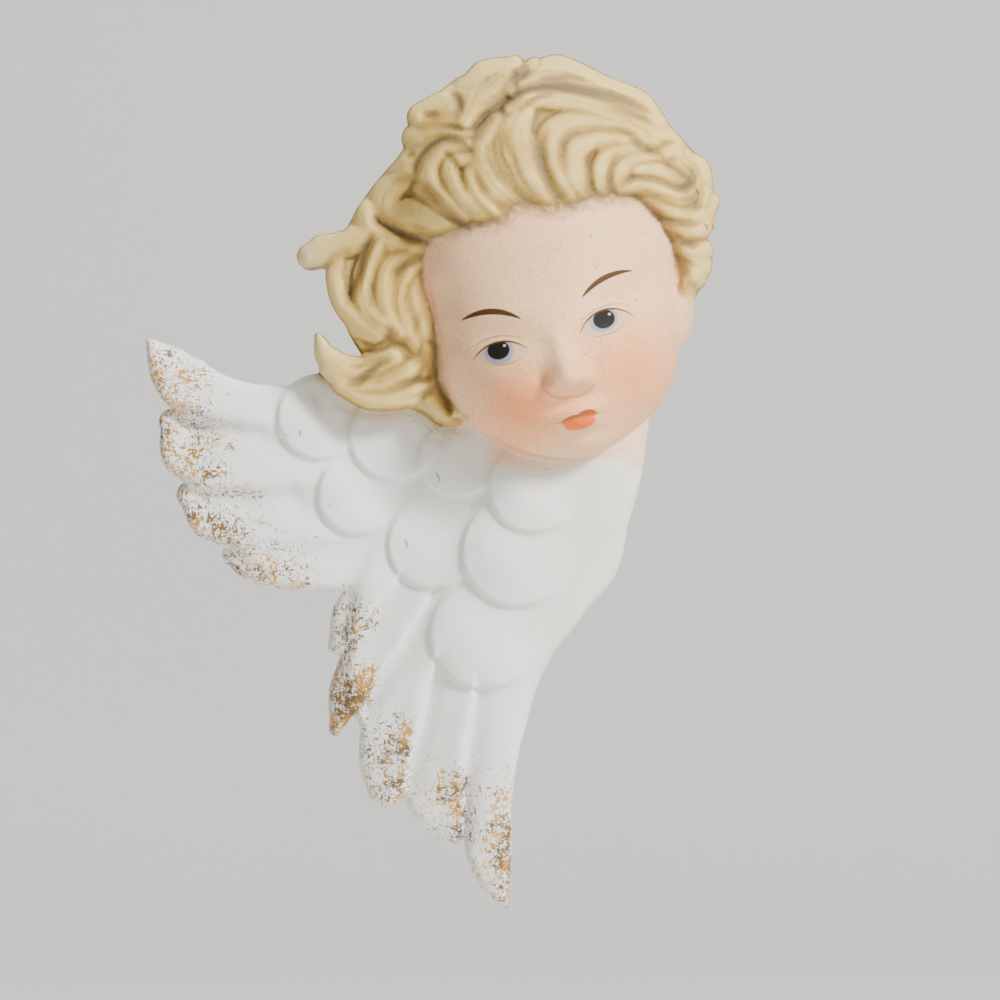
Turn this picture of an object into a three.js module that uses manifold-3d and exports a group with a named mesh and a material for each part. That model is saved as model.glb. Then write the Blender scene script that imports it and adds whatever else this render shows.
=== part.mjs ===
// Cherub wall plaque: a child's head over two folded wings, cast in bisque in one piece,
// with a flat back and a blind hole in it for the nail that it hangs on.
// Millimetres, +Z up, the front towards -Y, and the origin on the flat back.
import * as THREE from 'three';
import { mergeVertices } from 'three/addons/utils/BufferGeometryUtils.js';
import Module from 'manifold-3d';

const wasm = await Module();
wasm.setup();

// Driving dimensions, in millimetres.
const HEIGHT = 100;          // crown to the tip of the longest feather
const RELIEF = 28;           // wall to the tip of the nose
const WING_RIM_RADIUS = 1.1; // rounding of the wings' free edges
const LOCK_RIM_RADIUS = 0.5; // rounding of the locks' free edges
const LEAST_RIM = 1.5;       // least thickness of a free edge
const NAIL_HOLE_DIAMETER = 5;
const NAIL_HOLE_DEPTH = 6;
const NAIL_HOLE_RISE = 20;   // hole centre above the origin
const NAIL_HOLE_SIDES = 24;
const CLEAR = 1;             // run of a cut past the face that it starts from
const FACET = 0.9;           // side of the facets that the form is cut into

// The form is drawn in units of its own height and its own depth.
const UNITS_TALL = 85.5;
const UNITS_DEEP = 24.0;
const UNIT = HEIGHT / UNITS_TALL;
const DEPTH_UNIT = RELIEF / UNITS_DEEP;
const WING_RIM = WING_RIM_RADIUS / UNIT;
const LOCK_RIM = LOCK_RIM_RADIUS / UNIT;
const DRAWN = { left: -37.5, right: 24, bottom: -48, top: 42, front: 30 };
const FAR = 1000;
const SAME = 1e-4;
const DEPTH_STEP = 0.5;
const HALVINGS = 12;
const CURVE_STEPS = 6;

// Each feather: its spine from root to tip, the half width at each point,
// its height at root and tip, how much it is domed, and how far one edge is raised.
const FEATHERS = [
  { spine: [[-18, 4], [-24.5, 4.4], [-28.5, 5.2], [-31.5, 6.75], [-33.5, 8.9], [-35.1, 10.9]],
    half: [2.3, 2.15, 2.5, 2.85, 2, 0.3], height: [6.2, 2.9], dome: 0.5, tilt: 0.55 },
  { spine: [[-16, -0.4], [-24, -0.9], [-28.5, -0.6], [-31.2, 0.5], [-32.8, 2.8]],
    half: [2.8, 3.3, 3.6, 3.2, 1.3], height: [5.9, 2.8], dome: 0.5, tilt: 0.55 },
  { spine: [[-13, -5.8], [-21, -6.5], [-26, -6.8], [-29, -5.9], [-31, -4.5]],
    half: [2.8, 2.9, 3.05, 2.9, 1.35], height: [5.6, 2.7], dome: 0.5, tilt: 0.55 },
  { spine: [[-12, -10.9], [-18, -11.5], [-22, -11.6], [-25, -11.1], [-26.8, -10.5]],
    half: [3.2, 2.6, 2.25, 1.9, 1], height: [5, 2.6], dome: 0.5, tilt: 0.4 },
  { spine: [[0.5, -20], [-0.5, -28], [-1.2, -34], [-1.1, -40], [-0.35, -43.4], [0.6, -45.5]],
    half: [3.4, 2.7, 2.5, 2.35, 1.5, 0.35], height: [7.6, 2.7], dome: 0.6, tilt: 0.3 },
  { spine: [[-3, -19], [-5.4, -26], [-6.4, -31], [-6.5, -35], [-5.3, -38.1]],
    half: [2.2, 2.5, 2.8, 2.85, 1.5], height: [7.4, 2.8], dome: 0.45, tilt: 0.6 },
  { spine: [[-5.5, -16], [-9.2, -22], [-11, -26.5], [-11.7, -31], [-11.6, -34.2]],
    half: [1.8, 2.3, 2.75, 2.4, 1.6], height: [7, 2.8], dome: 0.45, tilt: 0.6 },
  { spine: [[-7.2, -12], [-11, -17], [-13.5, -20.5], [-15.3, -24.4], [-16.5, -28]],
    half: [1.8, 1.9, 2.15, 1.9, 0.6], height: [6.2, 2.8], dome: 0.45, tilt: 0.6 },
  { spine: [[-8.5, -8.5], [-12.5, -13.4], [-14.8, -16.6], [-16.2, -19.5]],
    half: [1.9, 2, 2.1, 1], height: [5.6, 3.2], dome: 0.45, tilt: 0.2 },
];

// The web that the feathers of each wing grow from, with its height along the spine.
const WEBS = [
  { spine: [[-12, -4], [-19, -3.7], [-24, -3.5], [-26.2, -3.2]], half: [9.6, 9.8, 8.2, 5.2],
    height: [5.2, 4.6, 4, 3] },
  { spine: [[-2, -8], [-5, -16], [-7, -24], [-6.5, -31]],
    half: [8, 9.5, 8.4, 5], height: [6.2, 5.6, 4.6, 3.2] },
  { spine: [[-22, 2], [-27, 2.2], [-31, 3]], half: [3, 2.2, 1.2], height: [3.6, 3, 2.6] },
  { spine: [[2, -2], [-5, -1.5], [-12, -1], [-17, -1]], half: [7, 7, 6, 4.4], height: [9, 6.2, 5.4, 5.2] },
  { spine: [[-2, -4], [-6, -9], [-9, -13]], half: [5, 5, 3.2], height: [8.2, 5.4, 4.6] },
  { spine: [[-2, -24], [-3.4, -32], [-3.6, -37.5]], half: [3, 2.6, 1.4], height: [5, 3.6, 2.7] },
  { spine: [[-7, -24], [-8.6, -29], [-9.2, -33]], half: [3, 2.4, 1.4], height: [5, 3.8, 2.7] },
];

// The shoulder: the neck and the outer edge of the folded wing.
const SHOULDERS = [
  { spine: [[9.4, 3], [7.6, -6], [4, -13.5], [0.6, -20], [-0.6, -30]], half: [5.4, 5.2, 5.2, 4.4, 2.4],
    height: [11.6, 10.8, 9.4, 7.4, 5.2] },
  { spine: [[10.2, 3.5], [10.1, -2], [9.6, -7], [8.6, -11.5], [5.2, -16.2], [1.8, -22], [0.2, -28]],
    half: [4.6, 4, 3.1, 3, 2.15, 2, 1.9], height: [12.2, 11.8, 11, 9.6, 8.4, 7.2, 6] },
];
const SHOULDER_DOME = 1.15;

// The round scales over the roots of the feathers, and how each one leans.
const SCALES = [
  { at: [-14.3, -4.6], radius: 4.1, height: 6.7, lean: [0.03, 0.05] },
  { at: [-18, 3.2], radius: 4.4, height: 6.6, lean: [0.05, 0] },
  { at: [-10.5, 1.4], radius: 4.75, height: 7.5, lean: [0.02, 0.02] },
  { at: [-6.7, -9.4], radius: 4.7, height: 7.6, lean: [0.28, 0.02] },
  { at: [-4.2, -0.9], radius: 4.1, height: 8.9, lean: [0.25, 0.05] },
  { at: [-1.6, -18.4], radius: 5.65, height: 9, lean: [0.13, 0.02] },
  { at: [1.7, -10.1], radius: 5.75, height: 10.5, lean: [0.1, 0.03] },
  { at: [3.3, -3.8], radius: 4.7, height: 11.7, lean: [0.06, 0.03] },
];
const SCALE_SWELL = { sink: 0.5, dome: 1.1, drop: 5, from: 0.95, to: 1.5 };
const SCALE_STEP = 0.55;
const SCALE_EDGE = 0.7;

// Their free edges face down to the left, and the opposite ones merge with the scale above.
const SCALE_FREE = THREE.MathUtils.degToRad(225);
const SCALE_FADE = { from: -0.5, to: 0.45 };

// The quills: a bright ridge along each lower feather, rising gently and falling steeply to the next one.
const QUILLS = [
  [[-10.7, -13.3], [-12.5, -15.5], [-14, -17.5], [-15.3, -19], [-16.5, -20.7]],
  [[-7.5, -15], [-9, -17.5], [-10.5, -20], [-12, -22], [-13.3, -24], [-14.3, -26], [-14.7, -27]],
  [[-6.8, -21.7], [-7.5, -24], [-8.2, -27], [-9, -30], [-9.6, -33], [-10, -34.7]],
  [[-2.7, -24.3], [-3.2, -27], [-3.7, -30], [-4, -34], [-4, -39.6]],
];
const QUILL = { rise: 0.5, fall: 0.6, gentle: 1.3, steep: 0.6, reach: 1.2, span: [0.12, 0.94], taper: 0.7 };

// How far the creases are filled where the parts of the form meet.
const BLEND = { web: 0.4, shoulder: 0.5, feather: 0.7, swell: 1.8, scaleEdge: 0.4, lock: 0.5, crown: 0.4 };

// How fast the distance grows over each surface, against one for a level one.
const STEEPNESS = { wing: 0.85, lock: 0.8, face: 0.93 };

// The head leans to the left as it is seen.
const HEAD_ROLL = THREE.MathUtils.degToRad(16.5);
const CRANIUM = { at: [5, 19.2], radii: [13.6, 15.8, 12.9], depth: 7.5 };
const JAW = { at: [5.7, 11.1], radii: [12.2, 12.1, 12.6], depth: 9 };
const TEMPLE = { at: [16.1, 14.9], radii: [3, 4.8, 4.5], depth: 8 };
const HEAD_BLEND = 2.2;
const HEAD_BACK_DRAFT = 0.5;

// Edge of the hair around the face, as a closed line that passes outside the head at the right.
const HAIRLINE = [
  [-7.2, 19.8], [-4.8, 21], [0, 21.6], [2, 23.1], [6, 22.8], [10, 24], [13.5, 24], [16.2, 21.4], [17.8, 17.8],
  [18.4, 15.5], [25, 12], [25, -9], [-6, -9], [-3.1, 2.5], [-4.8, 5.5], [-5.9, 9.5], [-7.2, 14], [-7.9, 17.5],
];
const HAIR_THICKNESS = 2;
const HAIR_RAMP = { from: -0.3, to: 3.6 };

// The hair's ground: a dome over the crown, a slope at the left side and another down to the lower curl.
const CROWN = { base: 7.5, dome: 14.6, radii: [16.2, 18.4], softness: 0.03 };
const SIDE = { base: 13.2, slope: 0.42, across: [-5, -12], up: [28, 22] };
const TAIL = { base: 11.6, slope: 0.25, across: [-4, -8], up: [12, 7] };
const SIDE_FROM = -8;
const THINNING = { hair: 1.9, temple: 0.45, templeAcross: [-4, -7], templeUp: [22, 18] };
const HAIR_END = -1;
const TUCK = { depth: 2.5, from: 1.4, to: -1 };
const CROWN_CAP = { at: [4.4, 21.4], radii: [15.2, 15.6], turn: THREE.MathUtils.degToRad(10), sink: 0.25 };

// Bodies of hair under the locks.
const HAIR_MASSES = [
  { spine: [[-7, 30.8], [-3, 34.6], [3, 36], [9, 34.6], [13.5, 32.6], [17.4, 28.6]],
    half: [2.2, 2.6, 2.2, 2, 2, 2] },
  { spine: [[-2, 29], [-7.5, 24.5], [-10.8, 19], [-10.9, 13.8], [-8.2, 9], [-5, 5]],
    half: [5, 5, 5.2, 4.7, 4, 2.6] },
  { spine: [[16.4, 23.6], [18, 20.4], [18.6, 17.4], [18.4, 15]], half: [1.8, 1.8, 1.5, 1] },
  { spine: [[-16.6, 8.4], [-13.5, 7], [-9.5, 7], [-6, 6]], half: [1.1, 2, 2.6, 2.6] },
  { spine: [[-15.6, 19.6], [-15.2, 16.6], [-13, 14]], half: [1.2, 1.5, 1.6] },
];
const MASS = { sink: 1.6, round: 1.6 };

// Each lock: its spine, the half width at each point, and its rise over the hair under it.
const LOCKS = [
  { spine: [[1.4, 38], [-0.9, 36.6], [-2.7, 34.6], [-3.6, 32.4]], half: [1, 2.1, 1.9, 0.9], rise: 1.2 },
  { spine: [[3.4, 37.8], [1.9, 36.9], [0.9, 35.4]], half: [1, 0.9, 0.5], rise: 1 },
  { spine: [[-3.4, 35], [-5.6, 33.9], [-7.7, 32.9]], half: [1.1, 1.5, 1.4], rise: 1.2 },
  { spine: [[-3.2, 32.7], [-6, 32], [-8.1, 30.8]], half: [0.8, 1.3, 1.5], rise: 0.9 },
  { spine: [[-2.9, 30.9], [-5.6, 31], [-8.2, 29.3], [-9.8, 27.3]], half: [0.6, 0.9, 1.2, 1.1], rise: 0.8 },
  { spine: [[2, 36.4], [5.5, 37.2], [10, 35.5], [13.5, 34.1], [15.6, 32.4]],
    half: [1, 1.8, 1.5, 1.5, 0.9], rise: 1.1 },
  { spine: [[1, 33.4], [4, 34.7], [8.5, 34], [13, 31.9], [16.8, 29.6], [19.4, 27], [20.2, 24.6]],
    half: [0.6, 1, 1.3, 1.6, 1.5, 1.2, 1], rise: 1.2 },
  { spine: [[-0.4, 32.4], [-1.9, 29.9], [-1.5, 27.3], [0.2, 25], [2.2, 23.5]],
    half: [0.7, 1, 1.4, 1.3, 0.5], rise: 1.1 },
  { spine: [[2.4, 33.6], [1.3, 31.2], [1.6, 28.6], [2.9, 26], [4.9, 23.7]],
    half: [0.9, 1.7, 2, 1.7, 0.6], rise: 1.3 },
  { spine: [[12, 32], [8, 32.4], [5.2, 30.9], [4.8, 28.4], [6.1, 25.9], [7.9, 23.9]],
    half: [0.8, 1.1, 1.2, 1.3, 1.3, 0.5], rise: 1.2 },
  { spine: [[13, 30.6], [9.8, 30.5], [7.4, 29.4], [7.1, 27.3], [7.9, 25.2], [9.2, 24]],
    half: [0.6, 0.8, 1.1, 1.2, 1, 0.5], rise: 1.2 },
  { spine: [[14, 29.7], [11.2, 29.2], [9.9, 27.6], [9.8, 25.8], [10.5, 24.4]],
    half: [0.5, 0.8, 1, 0.9, 0.5], rise: 1 },
  { spine: [[16.2, 29], [13.4, 28.6], [12, 27.4], [11.8, 25.9], [12.4, 24.7]],
    half: [0.6, 0.9, 1, 0.8, 0.4], rise: 0.9 },
  { spine: [[11.8, 25.2], [14, 25.9], [16.4, 25.2], [18.4, 24.9], [19.8, 26.1], [19.7, 27.9], [18.4, 29.2]],
    half: [0.4, 0.8, 1, 1.1, 1.1, 1, 0.6], rise: 1.2 },
  { spine: [[13.6, 27.4], [15.6, 27.6], [17.2, 26.9], [18.2, 26.6]], half: [0.6, 0.9, 0.9, 0.5], rise: 1 },
  { spine: [[12.9, 24], [15, 24], [17.5, 23], [19.6, 23.1], [20.7, 24.6]],
    half: [0.4, 0.8, 1.1, 1.2, 1], rise: 1 },
  { spine: [[15.8, 22.3], [17.6, 21.5], [19.4, 21.6], [20.3, 22.4]], half: [0.4, 0.9, 1.1, 0.9], rise: 0.9 },
  { spine: [[17.1, 20], [18.6, 19.4], [19.8, 19.6]], half: [0.5, 1.1, 1.2], rise: 0.9 },
  { spine: [[18.4, 19.4], [19.3, 18.2], [19.3, 17]], half: [0.8, 1.6, 1.1], rise: 0.9 },
  { spine: [[-3.2, 30], [-5.6, 29.7], [-7.3, 28], [-7.2, 26], [-5.6, 24.2], [-3.4, 22.6]],
    half: [0.6, 0.9, 1.1, 1.3, 1.1, 0.5], rise: 1.2 },
  { spine: [[-3, 28.6], [-4.8, 28], [-4.7, 26.2], [-3.4, 24.2], [-1.4, 22.5]],
    half: [0.5, 0.8, 1, 1, 0.5], rise: 1.1 },
  { spine: [[-2.4, 28.2], [-3, 26.4], [-1.9, 24.2], [0.2, 22.7]], half: [0.5, 0.8, 0.9, 0.5], rise: 1 },
  { spine: [[-9.2, 27.2], [-11.1, 25.2], [-11, 23.6], [-8.7, 23], [-6, 22], [-3.6, 21.4]],
    half: [0.8, 1.2, 1.5, 1.6, 1.2, 0.5], rise: 1.3 },
  { spine: [[-13.2, 23.4], [-12.8, 21.8], [-10.8, 20.5], [-8.6, 19.9], [-6.6, 19.6]],
    half: [1, 1.2, 1.1, 0.9, 0.5], rise: 1.2 },
  { spine: [[-13.6, 21], [-16, 20.2], [-17.6, 19.7], [-18.9, 19.2]],
    half: [1.2, 1.25, 1.5, 1.15], rise: 1.3 },
  { spine: [[-16.3, 19], [-16.4, 16.9], [-15.7, 14.6], [-14, 12.8], [-12.3, 11.7]],
    half: [0.8, 0.8, 0.9, 1.2, 1], rise: 1 },
  { spine: [[-11.9, 20.6], [-13.1, 18.6], [-13.7, 16.2], [-13.2, 13.9], [-11.6, 12.4]],
    half: [0.9, 0.8, 0.85, 1, 0.9], rise: 1.3 },
  { spine: [[-9.4, 19.3], [-11.2, 17.9], [-11.6, 15.6], [-11.2, 13.2], [-9.8, 11.6]],
    half: [0.7, 1, 1.1, 1.1, 0.9], rise: 1.1 },
  { spine: [[-7.9, 18.3], [-9.4, 16.8], [-9.8, 14.8], [-9.3, 12.4], [-8.2, 10.2]],
    half: [0.4, 0.8, 0.9, 1, 0.8], rise: 0.9 },
  { spine: [[-18, 11.2], [-17.2, 9.3], [-15.2, 8], [-12.9, 8], [-10.6, 9]],
    half: [0.4, 1.1, 1.3, 1.2, 0.9], rise: 1.2 },
  { spine: [[-17.1, 8.1], [-15, 6.6], [-12.2, 6.5], [-9.6, 7.4], [-7.4, 8.8]],
    half: [0.8, 1.1, 1.1, 1, 0.7], rise: 1.1 },
  { spine: [[-16, 6.4], [-13, 5], [-9.6, 5.2], [-7.2, 6.6]], half: [0.6, 0.8, 0.9, 0.7], rise: 0.9 },
  { spine: [[-7.2, 9.8], [-7, 7.2], [-6, 4.8], [-4.1, 2.8]], half: [0.9, 1.1, 1.1, 0.5], rise: 1 },
];
const LOCK_SPREAD = 1.12;
const LOCK_ROUND = { share: 0.55, most: 0.7 };
const LOCK_RISE = { least: 0.1, growth: 0.72, reach: 4 };
const LOCK_SIDE = 1.5;

// The deep partings between the waves.
const PARTINGS = [
  { spine: [[-2.9, 30], [-2.2, 31.6], [-1.2, 32.8], [0, 33.8], [1, 34.6], [2.3, 35.2]],
    half: 0.95, depth: 1.1 },
  { spine: [[1, 34.9], [3, 35.5], [7, 35.6], [11, 34.9], [16.3, 32.9]], half: 0.6, depth: 0.8 },
  { spine: [[4.4, 31.3], [4, 29.6], [4.3, 27.5], [5.3, 25.6], [6.4, 24.2]], half: 0.7, depth: 0.7 },
  { spine: [[8, 31], [11, 31.4], [13.5, 30], [15.5, 29.6], [17.5, 30.4], [19.5, 28.8], [20.2, 26]],
    half: 0.5, depth: 0.5 },
  { spine: [[12, 26], [14.5, 26.6], [17.2, 25.7], [18.8, 26.3], [18.8, 27.7]], half: 0.5, depth: 0.6 },
  { spine: [[12.5, 24.6], [15, 23.4], [18, 22.3], [19.3, 22.8]], half: 0.45, depth: 0.45 },
  { spine: [[17, 22], [18, 20.4], [19.3, 20.2], [20.7, 20.9]], half: 0.5, depth: 0.5 },
  { spine: [[-7.8, 26.3], [-6.6, 24.8], [-5, 23.2], [-2.5, 21.8], [0.6, 22.3]], half: 0.6, depth: 0.8 },
  { spine: [[-10.5, 26.3], [-9, 27], [-7.8, 28.9], [-6, 30.3], [-4.2, 30.2], [-2.8, 29]],
    half: 0.6, depth: 0.9 },
  { spine: [[-12.8, 23], [-10.6, 21.8], [-8.4, 20.8], [-6, 20.3]], half: 0.5, depth: 0.7 },
  { spine: [[-12.8, 21], [-13.6, 19], [-14.6, 16], [-15.3, 14.5]], half: 0.6, depth: 1 },
  { spine: [[-15.8, 6.3], [-13.2, 7.5], [-10.8, 8.9]], half: 0.5, depth: 0.6 },
  { spine: [[-6.5, 8.5], [-7, 7.2], [-8.5, 6.8], [-10.5, 6.3]], half: 0.5, depth: 0.5 },
  { spine: [[-5.5, 35.6], [-4.5, 35], [-4, 34], [-3.9, 33]], half: 0.5, depth: 0.7 },
];
const PARTING = { span: [0.02, 0.98], flank: 1.6, from: 0.1, to: 1.2 };

// Swellings (+) and hollows (-) of the face: place, spread along and across, turn in degrees, height.
const FACE = {
  noseTip: { at: [6.75, 6.8], spread: [1.3, 1.15], turn: 16.5, height: 1.65 },
  noseWingLeft: { at: [5.05, 6.35], spread: [0.7, 0.6], turn: 16.5, height: 0.55 },
  noseWingRight: { at: [8.45, 7.1], spread: [0.7, 0.6], turn: 16.5, height: 0.55 },
  underNose: { at: [7.1, 4.85], spread: [1.7, 0.65], turn: 16.5, height: -0.8 },
  eyeHollowLeft: { at: [0.3, 10.9], spread: [2.6, 1.5], turn: 8, height: -1 },
  eyeHollowRight: { at: [10.5, 13.9], spread: [2.6, 1.5], turn: 20, height: -1 },
  eyeLeft: { at: [0.1, 9.7], spread: [1.7, 1.05], turn: 6, height: 0.55 },
  eyeRight: { at: [10.4, 12.7], spread: [1.7, 1.05], turn: 18, height: 0.55 },
  browLeft: { at: [0, 13.2], spread: [3.4, 1], turn: 6, height: 0.45 },
  browRight: { at: [10.4, 16.6], spread: [3.2, 1], turn: 28, height: 0.45 },
  cheekLeft: { at: [1.4, 4.9], spread: [3, 2.6], turn: 0, height: 0.7 },
  cheekRight: { at: [12.6, 8.2], spread: [3, 2.8], turn: 0, height: 0.6 },
  mouth: { at: [7.8, 3.1], spread: [2.6, 1.9], turn: 16.5, height: 0.75 },
  lipUpper: { at: [7.9, 3.9], spread: [1.4, 0.5], turn: 16.5, height: 0.35 },
  lipLower: { at: [7.9, 2.5], spread: [1, 0.5], turn: 16.5, height: 0.42 },
  underLip: { at: [8.15, 1.45], spread: [1.6, 0.5], turn: 16.5, height: -0.35 },
  chin: { at: [8.6, -0.1], spread: [2.3, 1.3], turn: 16.5, height: 0.75 },
};
const NOSE_BRIDGE = {
  spine: [[5, 12.6], [5.7, 10.2], [6.4, 7.6]],
  half: [1.1, 1.1, 1.35],
  height: [0.25, 1.15],
  start: 0.35,
};

// Depths over the wall between which the features come up out of the plain head.
const FEATURES_FROM = { low: 9, high: 15 };

const clamp01 = (t) => Math.min(1, Math.max(0, t));
const mix = (a, b, t) => a + (b - a) * t;

function ramp(from, to, value) {
  const t = clamp01((value - from) / (to - from));
  return t * t * (3 - 2 * t);
}

// Greater of two heights, with the crease between them filled to a radius.
function blendMax(a, b, radius) {
  const t = clamp01(0.5 + (0.5 * (a - b)) / radius);
  return mix(b, a, t) + radius * t * (1 - t) * 0.5;
}

const blendMin = (a, b, radius) => -blendMax(-a, -b, radius);

// Intersection of two fields with the edge rounded to a radius.
function roundedEdge(a, b, radius) {
  const p = Math.max(a + radius, 0);
  const q = Math.max(b + radius, 0);
  return Math.min(Math.max(a, b), -radius) + Math.hypot(p, q);
}

// Values at the points of a spine, read between them; place 1.5 is halfway from the second to the third.
function along(values, place) {
  const index = Math.min(Math.floor(place), values.length - 2);
  return mix(values[index], values[index + 1], place - index);
}

// A curve through the points, as short straight steps.
function tracedCurve(points, closed = false) {
  const knots = points.map(([x, z]) => new THREE.Vector3(x, 0, z));
  const curve = new THREE.CatmullRomCurve3(knots, closed, 'catmullrom', 0.5);
  return curve.getPoints((closed ? points.length : points.length - 1) * CURVE_STEPS);
}

// Nearest place on a traced curve, counted in its points, and the distance, + to the left of its run.
function nearest(spots, x, z) {
  let best = Infinity;
  let place = 0;
  let side = 1;
  for (let i = 0; i < spots.length - 1; i += 1) {
    const a = spots[i];
    const b = spots[i + 1];
    const dx = b.x - a.x;
    const dz = b.z - a.z;
    const t = clamp01(((x - a.x) * dx + (z - a.z) * dz) / (dx * dx + dz * dz));
    const rx = x - a.x - t * dx;
    const rz = z - a.z - t * dz;
    const square = rx * rx + rz * rz;
    if (square < best) {
      best = square;
      place = (i + t) / CURVE_STEPS;
      side = dx * rz - dz * rx >= 0 ? 1 : -1;
    }
  }
  return { place, distance: Math.sqrt(best) * side };
}

// A band laid along a spine: place along it, place across it in half widths, and distance to its edge.
function band(shape) {
  const spots = tracedCurve(shape.spine);
  return (x, z) => {
    const { place, distance } = nearest(spots, x, z);
    const half = along(shape.half, place);
    const share = place / (shape.spine.length - 1);
    return { place, share, half, distance, across: distance / half, edge: Math.abs(distance) - half };
  };
}

const evenBand = (shape, half) => ({ ...shape, half: shape.spine.map(() => half) });
const bandsOf = (shapes) => shapes.map((shape) => ({ ...shape, band: band(shape) }));
const feathers = bandsOf(FEATHERS);
const webs = bandsOf(WEBS);
const shoulders = bandsOf(SHOULDERS);
const quills = bandsOf(QUILLS.map((spine) => evenBand({ spine }, 1)));
const hairMasses = bandsOf(HAIR_MASSES);
const locks = bandsOf(LOCKS.map((lock) => ({ ...lock, half: lock.half.map((half) => half * LOCK_SPREAD) })));
const partings = bandsOf(PARTINGS.map((parting) => evenBand(parting, parting.half)));
const noseBridge = band(NOSE_BRIDGE);
const hairline = tracedCurve(HAIRLINE, true);

const roundTop = (across) => Math.sqrt(clamp01(1 - across * across));

// Height of the feathers and what they grow from, and the distance to their outline.
function feathered(x, z) {
  let height = 0;
  let edge = FAR;
  for (const web of webs) {
    const at = web.band(x, z);
    if (at.edge < 0) height = blendMax(height, along(web.height, at.place), BLEND.web);
    edge = Math.min(edge, at.edge);
  }
  for (const shoulder of shoulders) {
    const at = shoulder.band(x, z);
    const top = along(shoulder.height, at.place) + SHOULDER_DOME * (roundTop(at.across) - 1);
    if (at.edge < 0) height = blendMax(height, top, BLEND.shoulder);
    edge = Math.min(edge, at.edge);
  }
  for (const feather of feathers) {
    const at = feather.band(x, z);
    const [root, tip] = feather.height;
    const dome = feather.dome * (roundTop(at.across) - 1);
    const top = mix(root, tip, at.share) + dome + feather.tilt * at.across;
    if (at.edge < 0) height = blendMax(height, top, BLEND.feather);
    edge = Math.min(edge, at.edge);
  }
  return { height, edge };
}

// Height of a quill's ridge over the feather; the steep side is to the left of its run.
function quillRelief({ distance, share }) {
  const ends = Math.sin(Math.PI * mix(...QUILL.span, share)) ** QUILL.taper;
  if (distance < 0) return ends * QUILL.rise * Math.exp(-((distance / QUILL.gentle) ** 2));
  if (distance < QUILL.steep) {
    return ends * (QUILL.rise - (QUILL.rise + QUILL.fall) * ramp(0, QUILL.steep, distance));
  }
  return -ends * QUILL.fall * Math.exp(-(((distance - QUILL.steep) / QUILL.reach) ** 2));
}

// Height of the wings over the wall, and the distance to their outline.
function wings(x, z) {
  let { height, edge } = feathered(x, z);
  let steps = 0;
  for (const scale of SCALES) {
    const dx = x - scale.at[0];
    const dz = z - scale.at[1];
    const share = Math.hypot(dx, dz) / scale.radius;
    const swell = scale.height - SCALE_SWELL.sink + scale.lean[0] * dx + scale.lean[1] * dz;
    const past = ramp(SCALE_SWELL.from, SCALE_SWELL.to, share);
    const drop = SCALE_SWELL.dome * share ** 2 + SCALE_SWELL.drop * past;
    height = blendMax(height, swell - drop, BLEND.swell);
    edge = blendMin(edge, (share - 1) * scale.radius, BLEND.scaleEdge);
    const free = (dx * Math.cos(SCALE_FREE) + dz * Math.sin(SCALE_FREE)) / scale.radius;
    const tile = 1 - ramp(1 - SCALE_EDGE / scale.radius, 1, share);
    steps += SCALE_STEP * tile * ramp(SCALE_FADE.from, SCALE_FADE.to, free);
  }
  for (const quill of quills) steps += quillRelief(quill.band(x, z));
  return { height: height + steps, edge };
}

// Coordinates about a place on turned axes.
function turned(x, z, [cx, cz], angle) {
  const cos = Math.cos(angle);
  const sin = Math.sin(angle);
  return [(x - cx) * cos + (z - cz) * sin, -(x - cx) * sin + (z - cz) * cos];
}

// Distance to an egg shape, near enough close to its surface; behind its widest place it runs on to the wall.
function egg({ at, radii, depth }, x, z, d) {
  const [u, v] = turned(x, z, at, HEAD_ROLL);
  const w = d > depth ? d - depth : (d - depth) * HEAD_BACK_DRAFT;
  const [a, b, c] = radii;
  const near = Math.hypot(u / a, v / b, w / c);
  const slope = Math.hypot(u / (a * a), v / (b * b), w / (c * c));
  return (near * (near - 1)) / Math.max(slope, SAME);
}

// Distance to the hairline, + on the hair's side.
function hairDistance(x, z) {
  let inside = false;
  for (let i = 0; i < hairline.length - 1; i += 1) {
    const a = hairline[i];
    const b = hairline[i + 1];
    const crosses = a.z > z !== b.z > z;
    if (crosses && x < a.x + ((z - a.z) / (b.z - a.z)) * (b.x - a.x)) inside = !inside;
  }
  const distance = Math.abs(nearest(hairline, x, z).distance);
  return inside ? -distance : distance;
}

// Height of the hair under its locks, also past the edge of the head.
function hairGround(x, z, fromHairline) {
  const [u, v] = turned(x, z, CRANIUM.at, HEAD_ROLL);
  const within = 1 - (u / CROWN.radii[0]) ** 2 - (v / CROWN.radii[1]) ** 2;
  const crown = CROWN.base + CROWN.dome * Math.sqrt((within + Math.sqrt(within ** 2 + CROWN.softness)) / 2);
  const beside = ramp(...SIDE.across, x) * ramp(...SIDE.up, z);
  const side = mix(crown, SIDE.base + SIDE.slope * (x - SIDE_FROM), beside);
  const below = ramp(...TAIL.up, z) * ramp(...TAIL.across, x);
  const tail = mix(side, TAIL.base + TAIL.slope * (x - SIDE_FROM), below);
  const temple = ramp(...THINNING.templeAcross, x) * ramp(...THINNING.templeUp, z);
  const towardsFace = 1 - ramp(HAIR_RAMP.from, HAIR_RAMP.to, fromHairline);
  const thin = THINNING.hair * towardsFace * (1 - THINNING.temple * temple);
  return tail - thin - TUCK.depth * ramp(TUCK.from, TUCK.to, fromHairline);
}

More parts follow.
